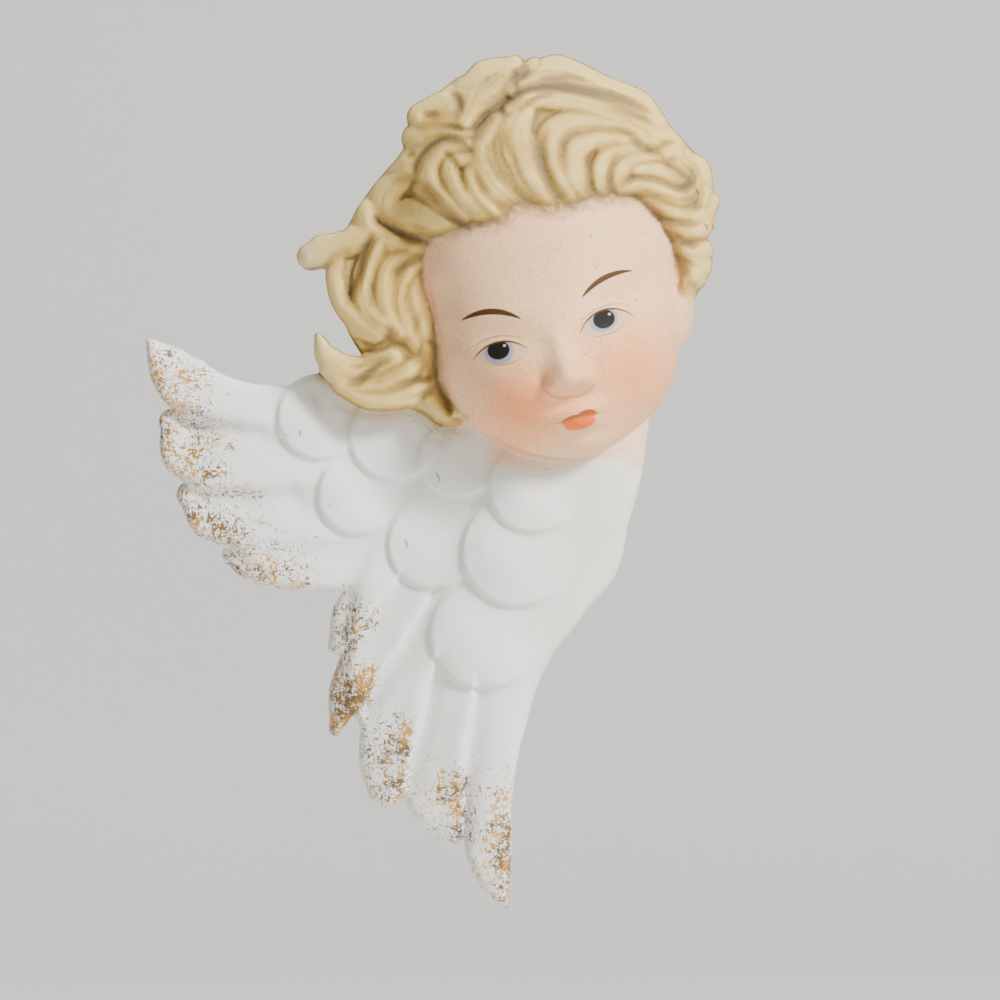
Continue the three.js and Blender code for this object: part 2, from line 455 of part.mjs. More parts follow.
// Height of the locks over the wall, and the distance to their outline.
function hair(x, z, fromHairline) {
  const ground = hairGround(x, z, fromHairline);
  const [u, v] = turned(x, z, CROWN_CAP.at, CROWN_CAP.turn);
  const [wide, tall] = CROWN_CAP.radii;
  let edge = Math.max((Math.hypot(u / wide, v / tall) - 1) * wide, -fromHairline);
  let height = edge < 0 ? ground - CROWN_CAP.sink : 0;
  for (const mass of hairMasses) {
    const at = mass.band(x, z);
    const top = ground + MASS.round * roundTop(at.across) - MASS.sink;
    if (at.edge < 0) height = blendMax(height, top, BLEND.crown);
    edge = Math.min(edge, at.edge);
  }
  for (const lock of locks) {
    const at = lock.band(x, z);
    const round = Math.min(at.half * LOCK_ROUND.share, LOCK_ROUND.most);
    const rise = lock.rise * (LOCK_RISE.least + LOCK_RISE.growth * ramp(0, LOCK_RISE.reach, fromHairline));
    const side = LOCK_SIDE * Math.max(at.edge, 0);
    height = blendMax(height, ground + rise - round * at.across ** 2 - side, BLEND.lock);
    edge = Math.min(edge, at.edge);
  }
  return { height, edge };
}

function partingDepth(x, z, fromHairline) {
  let depth = 0;
  for (const parting of partings) {
    const { across, share } = parting.band(x, z);
    const ends = Math.sqrt(Math.sin(Math.PI * mix(...PARTING.span, share)));
    depth = Math.max(depth, parting.depth * ends * Math.exp(-(Math.abs(across) ** PARTING.flank)));
  }
  return depth * ramp(PARTING.from, PARTING.to, fromHairline);
}

// Relief of the face over the plain egg shapes.
function faceRelief(x, z) {
  let relief = 0;
  for (const { at, spread, turn, height } of Object.values(FACE)) {
    const [u, v] = turned(x, z, at, THREE.MathUtils.degToRad(turn));
    relief += height * Math.exp(-0.5 * ((u / spread[0]) ** 2 + (v / spread[1]) ** 2));
  }
  const { share, across } = noseBridge(x, z);
  const rise = mix(...NOSE_BRIDGE.height, share) * ramp(0, NOSE_BRIDGE.start, share);
  return relief + Math.exp(-across * across) * rise;
}

// Everything that depends on the place in the drawing alone.
function drawnAt(x, z) {
  const fromHairline = hairDistance(x, z);
  return {
    fromHairline,
    wing: wings(x, z),
    lock: hair(x, z, fromHairline),
    parting: partingDepth(x, z, fromHairline),
    face: faceRelief(x, z),
  };
}

// The whole form as one field, below nought inside: x and z in the drawing, d the depth from the wall.
function plaqueField(drawn, x, z, d) {
  const crownAndJaw = blendMin(egg(CRANIUM, x, z, d), egg(JAW, x, z, d), HEAD_BLEND);
  const skull = blendMin(crownAndJaw, egg(TEMPLE, x, z, d), HEAD_BLEND);
  const skin = STEEPNESS.face * drawn.face * ramp(FEATURES_FROM.low, FEATURES_FROM.high, d);
  const thickness = HAIR_THICKNESS * ramp(HAIR_RAMP.from, HAIR_RAMP.to, drawn.fromHairline);
  const head = skull - skin - thickness + drawn.parting;
  const wing = roundedEdge(drawn.wing.edge, STEEPNESS.wing * (d - drawn.wing.height), WING_RIM);
  if (drawn.fromHairline < HAIR_END) return Math.min(head, wing);
  const over = STEEPNESS.lock * (d - drawn.lock.height) + drawn.parting;
  const lock = roundedEdge(drawn.lock.edge, over, LOCK_RIM);
  return Math.min(head, wing, lock);
}

// Top of the form at one place in the drawing, and how far the place is inside the outline (below nought).
function column(x, z) {
  const drawn = drawnAt(x, z);
  const at = (d) => plaqueField(drawn, x, z, d);
  let outline = Infinity;
  let top = 0;
  for (let d = DRAWN.front; d >= 0; d -= DEPTH_STEP) {
    const value = at(d);
    if (value < outline - SAME) {
      outline = value;
      if (outline > -SAME) top = d;
    }
    if (value < 0) {
      let [inside, outside] = [d, d + DEPTH_STEP];
      for (let n = 0; n < HALVINGS; n += 1) {
        const middle = (inside + outside) / 2;
        if (at(middle) < 0) inside = middle;
        else outside = middle;
      }
      return { outline: Math.min(value, -SAME), top: inside };
    }
  }
  return { outline, top };
}

// Signed outline values on a square grid, a row of nodes after another.
function sampledOutline() {
  const left = DRAWN.left * UNIT;
  const bottom = DRAWN.bottom * UNIT;
  const columns = Math.ceil(((DRAWN.right - DRAWN.left) * UNIT) / FACET) + 1;
  const rows = Math.ceil(((DRAWN.top - DRAWN.bottom) * UNIT) / FACET) + 1;
  const values = [];
  for (let row = 0; row < rows; row += 1) {
    for (let i = 0; i < columns; i += 1) {
      values.push(column((left + i * FACET) / UNIT, (bottom + row * FACET) / UNIT).outline);
    }
  }
  return { values, columns, rows, left, bottom };
}

// Fills corner-to-corner contacts on the grid, so that the outline never touches itself at a point.
function fillPinches({ values, columns, rows }) {
  let changed = true;
  while (changed) {
    changed = false;
    for (let at = 0; at < columns * (rows - 1) - 1; at += 1) {
      const corners = [at, at + 1, at + 1 + columns, at + columns];
      const [a, b, c, d] = corners.map((corner) => values[corner] < 0);
      if (a === c && b === d && a !== b) {
        values[a ? corners[1] : corners[0]] = -SAME;
        changed = true;
      }
    }
  }
}

// Lays four-sided facets over the front, one round each grid node inside the outline. A cell that the
// outline crosses has its corner point on the outline, and any other in its middle.
function frontFacets({ values, columns, left, bottom }) {
  const positions = [];
  const vertexOf = new Map();
  const cellVertex = (cell) => {
    if (vertexOf.has(cell)) return vertexOf.get(cell);
    const corners = [[0, 0], [1, 0], [1, 1], [0, 1]];
    const read = ([i, k]) => values[cell + i + k * columns];
    const crossings = [];
    corners.forEach((from, n) => {
      const to = corners[(n + 1) % 4];
      const [u, v] = [read(from), read(to)];
      if (u < 0 === v < 0) return;
      const share = u / (u - v);
      crossings.push([mix(from[0], to[0], share), mix(from[1], to[1], share)]);
    });
    const spots = crossings.length > 0 ? crossings : [[0.5, 0.5]];
    const mean = (axis) => spots.reduce((sum, spot) => sum + spot[axis], 0) / spots.length;
    const x = left + ((cell % columns) + mean(0)) * FACET;
    const z = bottom + (Math.floor(cell / columns) + mean(1)) * FACET;
    const top = Math.max(column(x / UNIT, z / UNIT).top * DEPTH_UNIT, LEAST_RIM);
    vertexOf.set(cell, positions.length);
    positions.push([x, -top, z]);
    return vertexOf.get(cell);
  };
  const quads = [];
  values.forEach((value, at) => {
    if (value < 0) quads.push([at - columns - 1, at - columns, at, at - 1].map(cellVertex));
  });
  return { positions, quads };
}

const apart = (a, b) => Math.hypot(a[0] - b[0], a[1] - b[1], a[2] - b[2]);

// Cuts each facet along its shorter diagonal.
function facetTriangles({ positions, quads }) {
  return quads.flatMap(([a, b, c, d]) => {
    const across = apart(positions[a], positions[c]) < apart(positions[b], positions[d]);
    return across ? [[a, b, c], [a, c, d]] : [[a, b, d], [b, c, d]];
  });
}

// Closed lines round the front, with the front on the left.
function rimLoops(quads) {
  const sides = new Map();
  for (const quad of quads) {
    quad.forEach((a, n) => {
      const b = quad[(n + 1) % 4];
      sides.set(`${a} ${b}`, [a, b]);
    });
  }
  const next = new Map();
  for (const [a, b] of sides.values()) {
    if (!sides.has(`${b} ${a}`)) next.set(a, b);
  }
  const loops = [];
  while (next.size > 0) {
    const loop = [];
    let vertex = next.keys().next().value;
    while (next.has(vertex)) {
      loop.push(vertex);
      const following = next.get(vertex);
      next.delete(vertex);
      vertex = following;
    }
    loops.push(loop);
  }
  return loops;
}

// The front, straight walls from its rim to the wall behind, and one flat face against that wall.
function castFacets() {
  const sampled = sampledOutline();
  fillPinches(sampled);
  const { positions, quads } = frontFacets(sampled);
  const faces = facetTriangles({ positions, quads });
  const loops = rimLoops(quads);
  const behind = new Map();
  for (const vertex of loops.flat()) {
    behind.set(vertex, positions.length);
    positions.push([positions[vertex][0], 0, positions[vertex][2]]);
  }
  for (const loop of loops) {
    loop.forEach((a, n) => {
      const b = loop[(n + 1) % loop.length];
      faces.push([b, a, behind.get(a)], [b, behind.get(a), behind.get(b)]);
    });
  }
  const flat = (vertex) => new THREE.Vector2(positions[vertex][0], positions[vertex][2]);
  const area = (loop) => Math.abs(THREE.ShapeUtils.area(loop.map(flat)));
  const [outline, ...gaps] = loops.sort((a, b) => area(b) - area(a));
  const order = [outline, ...gaps].flat();
  const flatGaps = gaps.map((gap) => gap.map(flat));
  for (const corners of THREE.ShapeUtils.triangulateShape(outline.map(flat), flatGaps)) {
    const face = corners.map((corner) => order[corner]);
    if (THREE.ShapeUtils.area(face.map(flat)) > 0) face.reverse();
    faces.push(face.map((vertex) => behind.get(vertex)));
  }
  return { positions: positions.flat(), faces };
}

function solidFrom(positions, faces) {
  const mesh = new wasm.Mesh({
    numProp: 3,
    vertProperties: new Float32Array(positions),
    triVerts: new Uint32Array(faces.flat()),
  });
  return new wasm.Manifold(mesh);
}

function solidOf(geometry) {
  const bare = geometry.index ? geometry.toNonIndexed() : geometry.clone();
  bare.deleteAttribute('normal');
  bare.deleteAttribute('uv');
  const merged = mergeVertices(bare);
  return solidFrom(merged.getAttribute('position').array, [Array.from(merged.getIndex().array)]);
}

// The nail's hole: a blind bore into the flat back of the head.
function nailHole() {
  const radius = NAIL_HOLE_DIAMETER / 2;
  const bore = new THREE.CylinderGeometry(radius, radius, NAIL_HOLE_DEPTH + CLEAR, NAIL_HOLE_SIDES);
  bore.translate(0, (CLEAR - NAIL_HOLE_DEPTH) / 2, NAIL_HOLE_RISE);
  return solidOf(bore);
}

function castGeometry() {
  const { positions, faces } = castFacets();
  const { vertProperties, triVerts } = solidFrom(positions, faces).subtract(nailHole()).getMesh();
  const geometry = new THREE.BufferGeometry();
  geometry.setAttribute('position', new THREE.BufferAttribute(vertProperties, 3));
  geometry.setIndex(new THREE.BufferAttribute(triVerts, 1));
  geometry.computeVertexNormals();
  return geometry;
}

const bisque = new THREE.MeshStandardMaterial({ color: 0xe6dfd4, roughness: 0.75, metalness: 0 });
const plaque = new THREE.Mesh(castGeometry(), bisque);
plaque.name = 'cherub_plaque';

const cherubWallPlaque = new THREE.Group();
cherubWallPlaque.add(plaque);

export default cherubWallPlaque;
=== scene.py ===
"""Cherub wall plaque: the painted bisque surface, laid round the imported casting.

The form is drawn in units, of which the plaque is 85.5 tall: x to the right, z up, and d the depth in front
of the wall. Everything is worked out in those units and scaled to metres once, when the mesh is written.
"""

import logging
import math
from dataclasses import dataclass, field, replace

import bpy
import numpy as np
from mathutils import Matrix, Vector
from mathutils.geometry import tessellate_polygon


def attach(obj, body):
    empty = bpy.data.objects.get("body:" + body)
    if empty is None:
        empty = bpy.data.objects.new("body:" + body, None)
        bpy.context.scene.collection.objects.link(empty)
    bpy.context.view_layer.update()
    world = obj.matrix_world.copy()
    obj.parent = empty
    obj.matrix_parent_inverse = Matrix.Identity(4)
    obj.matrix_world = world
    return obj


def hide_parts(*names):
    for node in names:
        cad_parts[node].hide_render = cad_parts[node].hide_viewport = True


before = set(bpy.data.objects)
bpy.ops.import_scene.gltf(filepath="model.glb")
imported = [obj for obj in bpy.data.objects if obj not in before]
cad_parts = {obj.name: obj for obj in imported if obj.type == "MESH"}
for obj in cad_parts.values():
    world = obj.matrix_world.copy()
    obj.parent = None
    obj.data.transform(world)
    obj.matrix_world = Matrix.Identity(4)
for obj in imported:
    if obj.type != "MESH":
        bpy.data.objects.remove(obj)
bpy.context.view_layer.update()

Array = np.ndarray
Point = tuple[float, float]
Colour = tuple[float, float, float, float]

PLAQUE_HEIGHT = 0.100
PLAQUE_DEPTH = 0.028
UNITS_TALL = 85.5
UNITS_DEEP = 24.0
UNIT = PLAQUE_HEIGHT / UNITS_TALL
DEPTH_UNIT = PLAQUE_DEPTH / UNITS_DEEP
NODE = "cherub_plaque"
BODY = "root"
FAR = 1000.0
CURVE_STEPS = 8
LEAST_SHARE = 1e-3
PINCH_ROUNDS = 8
JUST_INSIDE = 1e-3

log = logging.getLogger("plaque")


def ramp(low: float, high: float, value: Array) -> Array:
    """Smooth step of a value from nought at low to one at high.

    Args:
        low: where the step starts.
        high: where it ends.
        value: the value.

    Returns:
        The step.
    """
    share = np.clip((value - low) / (high - low), 0, 1)
    return share * share * (3 - 2 * share)


def blend_max(a: Array, b: Array, radius: float) -> Array:
    """Greater of two heights, with the crease between them filled.

    Args:
        a: one height.
        b: the other.
        radius: how far the crease is filled.

    Returns:
        The height.
    """
    share = np.clip(0.5 + 0.5 * (a - b) / radius, 0, 1)
    return b + (a - b) * share + 0.5 * radius * share * (1 - share)


def blend_min(a: Array, b: Array, radius: float) -> Array:
    """Lesser of two distances, with the crease between them filled."""
    return -blend_max(-a, -b, radius)


def rounded_edge(a: Array, b: Array, radius: float) -> Array:
    """Overlap of two fields with its edge rounded to a radius.

    Args:
        a: one field.
        b: the other.
        radius: the radius.

    Returns:
        The field of the overlap.
    """
    outside = np.hypot(np.maximum(a + radius, 0), np.maximum(b + radius, 0))
    return np.minimum(np.maximum(a, b), -radius) + outside


def round_top(across: Array) -> Array:
    """Height of a half circle over a band, one in the middle and nought at its edges."""
    return np.sqrt(np.clip(1 - across * across, 0, 1))


def turned(x: Array, z: Array, at: Point, degrees: float) -> tuple[Array, Array]:
    """Coordinates about a place, on axes turned by an angle.

    Args:
        x: places across, in units.
        z: heights, in units.
        at: the place.
        degrees: the angle.

    Returns:
        The coordinates along the turned axes.
    """
    cos, sin = math.cos(math.radians(degrees)), math.sin(math.radians(degrees))
    return (x - at[0]) * cos + (z - at[1]) * sin, (z - at[1]) * cos - (x - at[0]) * sin


def traced(points: tuple[Point, ...], closed: bool = False) -> Array:
    """Smooth curve through points, as short straight steps.

    Args:
        points: the points that the curve passes through.
        closed: whether it comes back to its first point.

    Returns:
        The ends of the steps, one row each; point n is row n * CURVE_STEPS.
    """
    knots = np.array(points, float)
    if closed:
        knots = np.vstack([knots[-1], knots, knots[:2]])
    else:
        knots = np.vstack([2 * knots[0] - knots[1], knots, 2 * knots[-1] - knots[-2]])
    spots = []
    for before, start, end, after in zip(knots, knots[1:], knots[2:], knots[3:]):
        bend = 2 * before - 5 * start + 4 * end - after
        twist = 3 * start - 3 * end + after - before
        for t in np.arange(CURVE_STEPS) / CURVE_STEPS:
            spots.append(0.5 * (2 * start + (end - before) * t + bend * t**2 + twist * t**3))
    return np.vstack([spots, knots[-2]])


@dataclass(frozen=True)
class Sheet:
    """The drawing's grid: places along x and z, in units."""

    left: float = -37.6
    right: float = 23.6
    bottom: float = -47.6
    top: float = 41.2
    pitch: float = 0.229

    @property
    def xs(self) -> Array:
        """Places of the columns."""
        return np.arange(self.left, self.right, self.pitch)

    @property
    def zs(self) -> Array:
        """Places of the rows."""
        return np.arange(self.bottom, self.top, self.pitch)

    def mesh(self) -> tuple[Array, Array]:
        """Place of each grid node, x and z."""
        return np.meshgrid(self.xs, self.zs)

    def read(self, values: Array, x: Array, z: Array) -> Array:
        """Values of the grid at places between its nodes.

        Args:
            values: values at the grid's nodes.
            x: places across, in units.
            z: heights, in units.

        Returns:
            One value for each place.
        """
        column = np.clip((x - self.left) / self.pitch, 0, values.shape[1] - 1.001)
        row = np.clip((z - self.bottom) / self.pitch, 0, values.shape[0] - 1.001)
        i, k = column.astype(int), row.astype(int)
        u, v = column - i, row - k
        lower = values[k, i] * (1 - u) + values[k, i + 1] * u
        upper = values[k + 1, i] * (1 - u) + values[k + 1, i + 1] * u
        return lower * (1 - v) + upper * v


@dataclass(frozen=True)
class Laid:
    """A band as it lies on the sheet, inside the window that it reaches."""

    window: tuple[slice, slice]
    place: Array
    side: Array
    half: Array

    @property
    def across(self) -> Array:
        """Place across the band in half widths, from -1 to 1."""
        return self.side / self.half

    @property
    def edge(self) -> Array:
        """Distance to the band's edge, below nought inside."""
        return np.abs(self.side) - self.half

    @property
    def inside(self) -> Array:
        """Whether a place lies on the band."""
        return self.edge < 0


@dataclass(frozen=True)
class Band:
    """A strip laid along a curved spine, with a half width at each of its points."""

    spine: tuple[Point, ...]
    half: tuple[float, ...]

    def lay(self, sheet: Sheet, spread: float = 1.0, reach: float = 3.0) -> Laid:
        """Finds the nearest place on the spine for every grid node near the band.

        Args:
            sheet: the drawing's grid.
            spread: factor on the half widths.
            reach: how far past the band's edge it is worked out.

        Returns:
            The place along the spine counted in its points, the distance to it, + to the left of its run,
            and the half width there.
        """
        spots = traced(self.spine)
        pad = max(self.half) * spread + reach
        window = self._reached(sheet.zs, spots[:, 1], pad), self._reached(sheet.xs, spots[:, 0], pad)
        x, z = np.meshgrid(sheet.xs[window[1]], sheet.zs[window[0]])
        nearest = np.full(x.shape, FAR * FAR)
        place, sign = np.zeros(x.shape), np.ones(x.shape)
        for n, (a, b) in enumerate(zip(spots, spots[1:])):
            run = b - a
            share = np.clip(((x - a[0]) * run[0] + (z - a[1]) * run[1]) / (run @ run), 0, 1)
            dx, dz = x - a[0] - share * run[0], z - a[1] - share * run[1]
            square = dx * dx + dz * dz
            closer = square < nearest
            nearest = np.where(closer, square, nearest)
            place = np.where(closer, (n + share) / CURVE_STEPS, place)
            sign = np.where(closer, np.where(run[0] * dz - run[1] * dx >= 0, 1, -1), sign)
        half = self.at(self.half, place) * spread
        return Laid(window, place, np.sqrt(nearest) * sign, half)

    @staticmethod
    def _reached(places: Array, spine: Array, pad: float) -> slice:
        """The grid's rows, or columns, that a band reaches.

        Args:
            places: place of each row or column.
            spine: the spine's places along the same axis.
            pad: how far past its spine the band is worked out.

        Returns:
            The rows or columns.
        """
        middle = (spine.min() + spine.max()) / 2
        within = np.nonzero(np.abs(places - middle) < np.ptp(spine) / 2 + pad)[0]
        return slice(within[0], within[-1] + 1)

    @staticmethod
    def at(values: tuple[float, ...], place: Array) -> Array:
        """Values given at the spine's points, read between them."""
        return np.interp(place, np.arange(len(values)), values)


def blurred(values: Array, width: float) -> Array:
    """Values of the sheet blurred by a bell of a width in nodes.

    Args:
        values: values on the sheet.
        width: width of the bell.

    Returns:
        The blurred values.
    """
    reach = int(3 * width) + 1
    bell = np.exp(-0.5 * (np.arange(-reach, reach + 1) / width) ** 2)
    bell /= bell.sum()
    padded = np.pad(values, reach, mode="edge")
    rows = sum(weight * padded[n:n + values.shape[0]] for n, weight in enumerate(bell))
    return sum(weight * rows[:, n:n + values.shape[1]] for n, weight in enumerate(bell))


def softened(height: Array, inside: Array, width: float) -> Array:
    """Heights inside an outline blurred among themselves.

    Args:
        height: heights on the sheet.
        inside: what lies inside the outline.
        width: width of the blur, in nodes.

    Returns:
        The heights, as they were outside.
    """
    share = blurred(inside.astype(float), width)
    spread = blurred(height * inside, width) / np.maximum(share, LEAST_SHARE)
    return np.where(share > LEAST_SHARE, spread, height)


@dataclass(frozen=True)
class Feather:
    """A long feather: height at root and tip, how far it is domed and how far one edge is raised."""

    band: Band
    height: tuple[float, float]
    dome: float
    tilt: float


@dataclass(frozen=True)
class Ridge:
    """A body of the wing with its height at each point of its spine."""

    band: Band
    height: tuple[float, ...]
    dome: float = 0.0


@dataclass(frozen=True)
class Scale:
    """A round scale feather over the roots of the long ones, and how it leans."""

    at: Point
    radius: float
    height: float
    lean: Point
    free: float = 225.0


@dataclass(frozen=True)
class Lock:
    """A lock of hair, its rise over the hair under it, and the number of strands combed into it."""

    band: Band
    rise: float
    strands: float = 4.0


@dataclass(frozen=True)
class Groove:
    """A parting cut into the hair."""

    spine: tuple[Point, ...]
    half: float
    depth: float


@dataclass(frozen=True)
class Swelling:
    """A rounded rise, or a hollow below nought, of the face."""

    at: Point
    spread: Point
    turn: float
    height: float

    def over(self, x: Array, z: Array) -> Array:
        """Height of the swelling at each place."""
        u, v = turned(x, z, self.at, self.turn)
        return self.height * np.exp(-0.5 * ((u / self.spread[0]) ** 2 + (v / self.spread[1]) ** 2))


@dataclass(frozen=True)
class Egg:
    """An egg shape on the head's own axes; behind its widest place it runs on to the wall."""

    at: Point
    radii: tuple[float, float, float]
    depth: float
    roll: float = 16.5
    draft: float = 0.5

    def distance(self, x: Array, z: Array, d: Array) -> Array:
        """Distance to the egg, near enough close to its surface.

        Args:
            x: places across, in units.
            z: heights, in units.
            d: depth in front of the wall.

        Returns:
            The distance, below nought inside.
        """
        u, v = turned(x, z, self.at, self.roll)
        w = np.where(d > self.depth, d - self.depth, (d - self.depth) * self.draft)
        a, b, c = self.radii
        near = np.sqrt((u / a) ** 2 + (v / b) ** 2 + (w / c) ** 2)
        slope = np.sqrt((u / a**2) ** 2 + (v / b**2) ** 2 + (w / c**2) ** 2)
        return near * (near - 1) / np.maximum(slope, 1e-6)


@dataclass(frozen=True)
class Relief:
    """Heights over the wall on the sheet, and the distance to their outline."""

    height: Array
    edge: Array
    comb: Array
    run: Array
    comb_apart: float = 3.1
    run_apart: float = 5.3

    @classmethod
    def blank(cls, sheet: Sheet) -> "Relief":
        """A relief with nothing on it yet."""
        shape = (len(sheet.zs), len(sheet.xs))
        return cls(np.zeros(shape), np.full(shape, FAR), np.zeros(shape), np.zeros(shape))

    def lay(self, laid: Laid, top: Array, blend: float) -> None:
        """Lays one band's top over the relief.

        Args:
            laid: the band.
            top: its height.
            blend: how far the crease is filled.
        """
        window = laid.window
        joined = blend_max(self.height[window], top, blend)
        self.height[window] = np.where(laid.inside, joined, self.height[window])
        self.edge[window] = np.minimum(self.edge[window], laid.edge)

    def drape(self, laid: Laid, top: Array, blend: float, number: int) -> None:
        """Lays a lock's top over the relief, with its sides running down past the band's edges.

        Args:
            laid: the lock's band.
            top: its height.
            blend: how far the crease beside it is filled.
            number: the lock's number, which sets its strands apart from the next lock's.
        """
        window = laid.window
        over = top > self.height[window]
        self.comb[window] = np.where(over, laid.side + self.comb_apart * number, self.comb[window])
        self.run[window] = np.where(over, laid.place + self.run_apart * number, self.run[window])
        self.height[window] = blend_max(self.height[window], top, blend)
        self.edge[window] = np.minimum(self.edge[window], laid.edge)


@dataclass(frozen=True)
class Wings:
    """The spread wing at the left and the folded one under the head."""

    webs: tuple[Ridge, ...] = (
        Ridge(Band(((-12, -4), (-19, -3.7), (-24, -3.5), (-26.2, -3.2)), (9.6, 9.8, 8.2, 5.2)),
            (5.2, 4.6, 4, 3)),
        Ridge(Band(((-2, -8), (-5, -16), (-7, -24), (-6.5, -31)), (8, 9.5, 8.4, 5)), (6.2, 5.6, 4.6, 3.2)),
        Ridge(Band(((-22, 2), (-27, 2.2), (-31, 3)), (3, 2.2, 1.2)), (3.6, 3, 2.6)),
        Ridge(Band(((2, -2), (-5, -1.5), (-12, -1), (-17, -1)), (7, 7, 6, 4.4)), (9, 6.2, 5.4, 5.2)),
        Ridge(Band(((-2, -4), (-6, -9), (-9, -13)), (5, 5, 3.2)), (8.2, 5.4, 4.6)),
        Ridge(Band(((-2, -24), (-3.4, -32), (-3.6, -37.5)), (3, 2.6, 1.4)), (5, 3.6, 2.7)),
        Ridge(Band(((-7, -24), (-8.6, -29), (-9.2, -33)), (3, 2.4, 1.4)), (5, 3.8, 2.7)),
    )
    shoulders: tuple[Ridge, ...] = (
        Ridge(Band(((9.4, 3), (7.6, -6), (4, -13.5), (0.6, -20), (-0.6, -30)), (5.4, 5.2, 5.2, 4.4, 2.4)),
              (11.6, 10.8, 9.4, 7.4, 5.2), 1.15),
        Ridge(Band(((10.2, 3.5), (10.1, -2), (9.6, -7), (8.6, -11.5), (5.2, -16.2), (1.8, -22), (0.2, -28)),
                   (4.6, 4, 3.1, 3, 2.15, 2, 1.9)), (12.2, 11.8, 11, 9.6, 8.4, 7.2, 6), 1.15),
    )
    feathers: tuple[Feather, ...] = (
        Feather(Band(((-18, 4), (-24.5, 4.4), (-28.5, 5.2), (-31.5, 6.75), (-33.5, 8.9), (-35.1, 10.9)),
                     (2.3, 2.15, 2.5, 2.85, 2, 0.3)), (6.2, 2.9), 0.5, 0.55),
        Feather(Band(((-16, -0.4), (-24, -0.9), (-28.5, -0.6), (-31.2, 0.5), (-32.8, 2.8)),
                     (2.8, 3.3, 3.6, 3.2, 1.3)), (5.9, 2.8), 0.5, 0.55),
        Feather(Band(((-13, -5.8), (-21, -6.5), (-26, -6.8), (-29, -5.9), (-31, -4.5)),
                     (2.8, 2.9, 3.05, 2.9, 1.35)), (5.6, 2.7), 0.5, 0.55),
        Feather(Band(((-12, -10.9), (-18, -11.5), (-22, -11.6), (-25, -11.1), (-26.8, -10.5)),
                     (3.2, 2.6, 2.25, 1.9, 1)), (5, 2.6), 0.5, 0.4),
        Feather(Band(((0.5, -20), (-0.5, -28), (-1.2, -34), (-1.1, -40), (-0.35, -43.4), (0.6, -45.5)),
                     (3.4, 2.7, 2.5, 2.35, 1.5, 0.35)), (7.6, 2.7), 0.6, 0.3),
        Feather(Band(((-3, -19), (-5.4, -26), (-6.4, -31), (-6.5, -35), (-5.3, -38.1)),
                     (2.2, 2.5, 2.8, 2.85, 1.5)), (7.4, 2.8), 0.45, 0.6),
        Feather(Band(((-5.5, -16), (-9.2, -22), (-11, -26.5), (-11.7, -31), (-11.6, -34.2)),
                     (1.8, 2.3, 2.75, 2.4, 1.6)), (7, 2.8), 0.45, 0.6),
        Feather(Band(((-7.2, -12), (-11, -17), (-13.5, -20.5), (-15.3, -24.4), (-16.5, -28)),
                     (1.8, 1.9, 2.15, 1.9, 0.6)), (6.2, 2.8), 0.45, 0.6),
        Feather(Band(((-8.5, -8.5), (-12.5, -13.4), (-14.8, -16.6), (-16.2, -19.5)), (1.9, 2, 2.1, 1)),
                (5.6, 3.2), 0.45, 0.2),
    )
    scales: tuple[Scale, ...] = (
        Scale((-14.3, -4.6), 4.1, 6.7, (0.03, 0.05)),
        Scale((-18, 3.2), 4.4, 6.6, (0.05, 0)),
        Scale((-10.5, 1.4), 4.75, 7.5, (0.02, 0.02)),
        Scale((-6.7, -9.4), 4.7, 7.6, (0.28, 0.02)),
        Scale((-4.2, -0.9), 4.1, 8.9, (0.25, 0.05)),
        Scale((-1.6, -18.4), 5.65, 9, (0.13, 0.02)),
        Scale((1.7, -10.1), 5.75, 10.5, (0.1, 0.03)),
        Scale((3.3, -3.8), 4.7, 11.7, (0.06, 0.03)),
    )
    quills: tuple[tuple[Point, ...], ...] = (
        ((-10.7, -13.3), (-12.5, -15.5), (-14, -17.5), (-15.3, -19), (-16.5, -20.7)),
        ((-7.5, -15), (-9, -17.5), (-10.5, -20), (-12, -22), (-13.3, -24), (-14.3, -26), (-14.7, -27)),
        ((-6.8, -21.7), (-7.5, -24), (-8.2, -27), (-9, -30), (-9.6, -33), (-10, -34.7)),
        ((-2.7, -24.3), (-3.2, -27), (-3.7, -30), (-4, -34), (-4, -39.6)),
    )
    web_blend: float = 0.4
    shoulder_blend: float = 0.5
    feather_blend: float = 0.45
    web_softness: float = 2.2
    swell_softness: float = 6.0
    swell_sink: float = 0.5
    swell_dome: float = 1.1
    swell_drop: float = 5.0
    swell_from: float = 0.95
    swell_to: float = 1.5
    swell_near: float = 0.9
    swell_blend: float = 1.6
    scale_blend: float = 0.4
    scale_step: float = 0.55
    scale_edge: float = 0.5
    scale_rim: float = 0.05
    scale_fade: Point = (-0.5, 0.45)
    quill_rise: float = 0.5
    quill_fall: float = 0.6
    quill_gentle: float = 1.3
    quill_steep: float = 0.6
    quill_reach: float = 1.2
    quill_start: float = 0.12
    quill_run: float = 0.82
    quill_taper: float = 0.7

    def carve(self, sheet: Sheet) -> Relief:
        """Relief of both wings and the neck.

        Args:
            sheet: the drawing's grid.

        Returns:
            The relief.
        """
        relief = Relief.blank(sheet)
        ridges = [(web, self.web_blend) for web in self.webs]
        ridges += [(shoulder, self.shoulder_blend) for shoulder in self.shoulders]
        for ridge, blend in ridges:
            laid = ridge.band.lay(sheet)
            top = Band.at(ridge.height, laid.place) + ridge.dome * (round_top(laid.across) - 1)
            relief.lay(laid, top, blend)
        for feather in self.feathers:
            laid = feather.band.lay(sheet)
            share = laid.place / (len(feather.band.spine) - 1)
            root, tip = feather.height
            top = root + (tip - root) * share + feather.dome * (round_top(laid.across) - 1)
            relief.lay(laid, top + feather.tilt * laid.across, self.feather_blend)
        return self._scaled(sheet, relief)

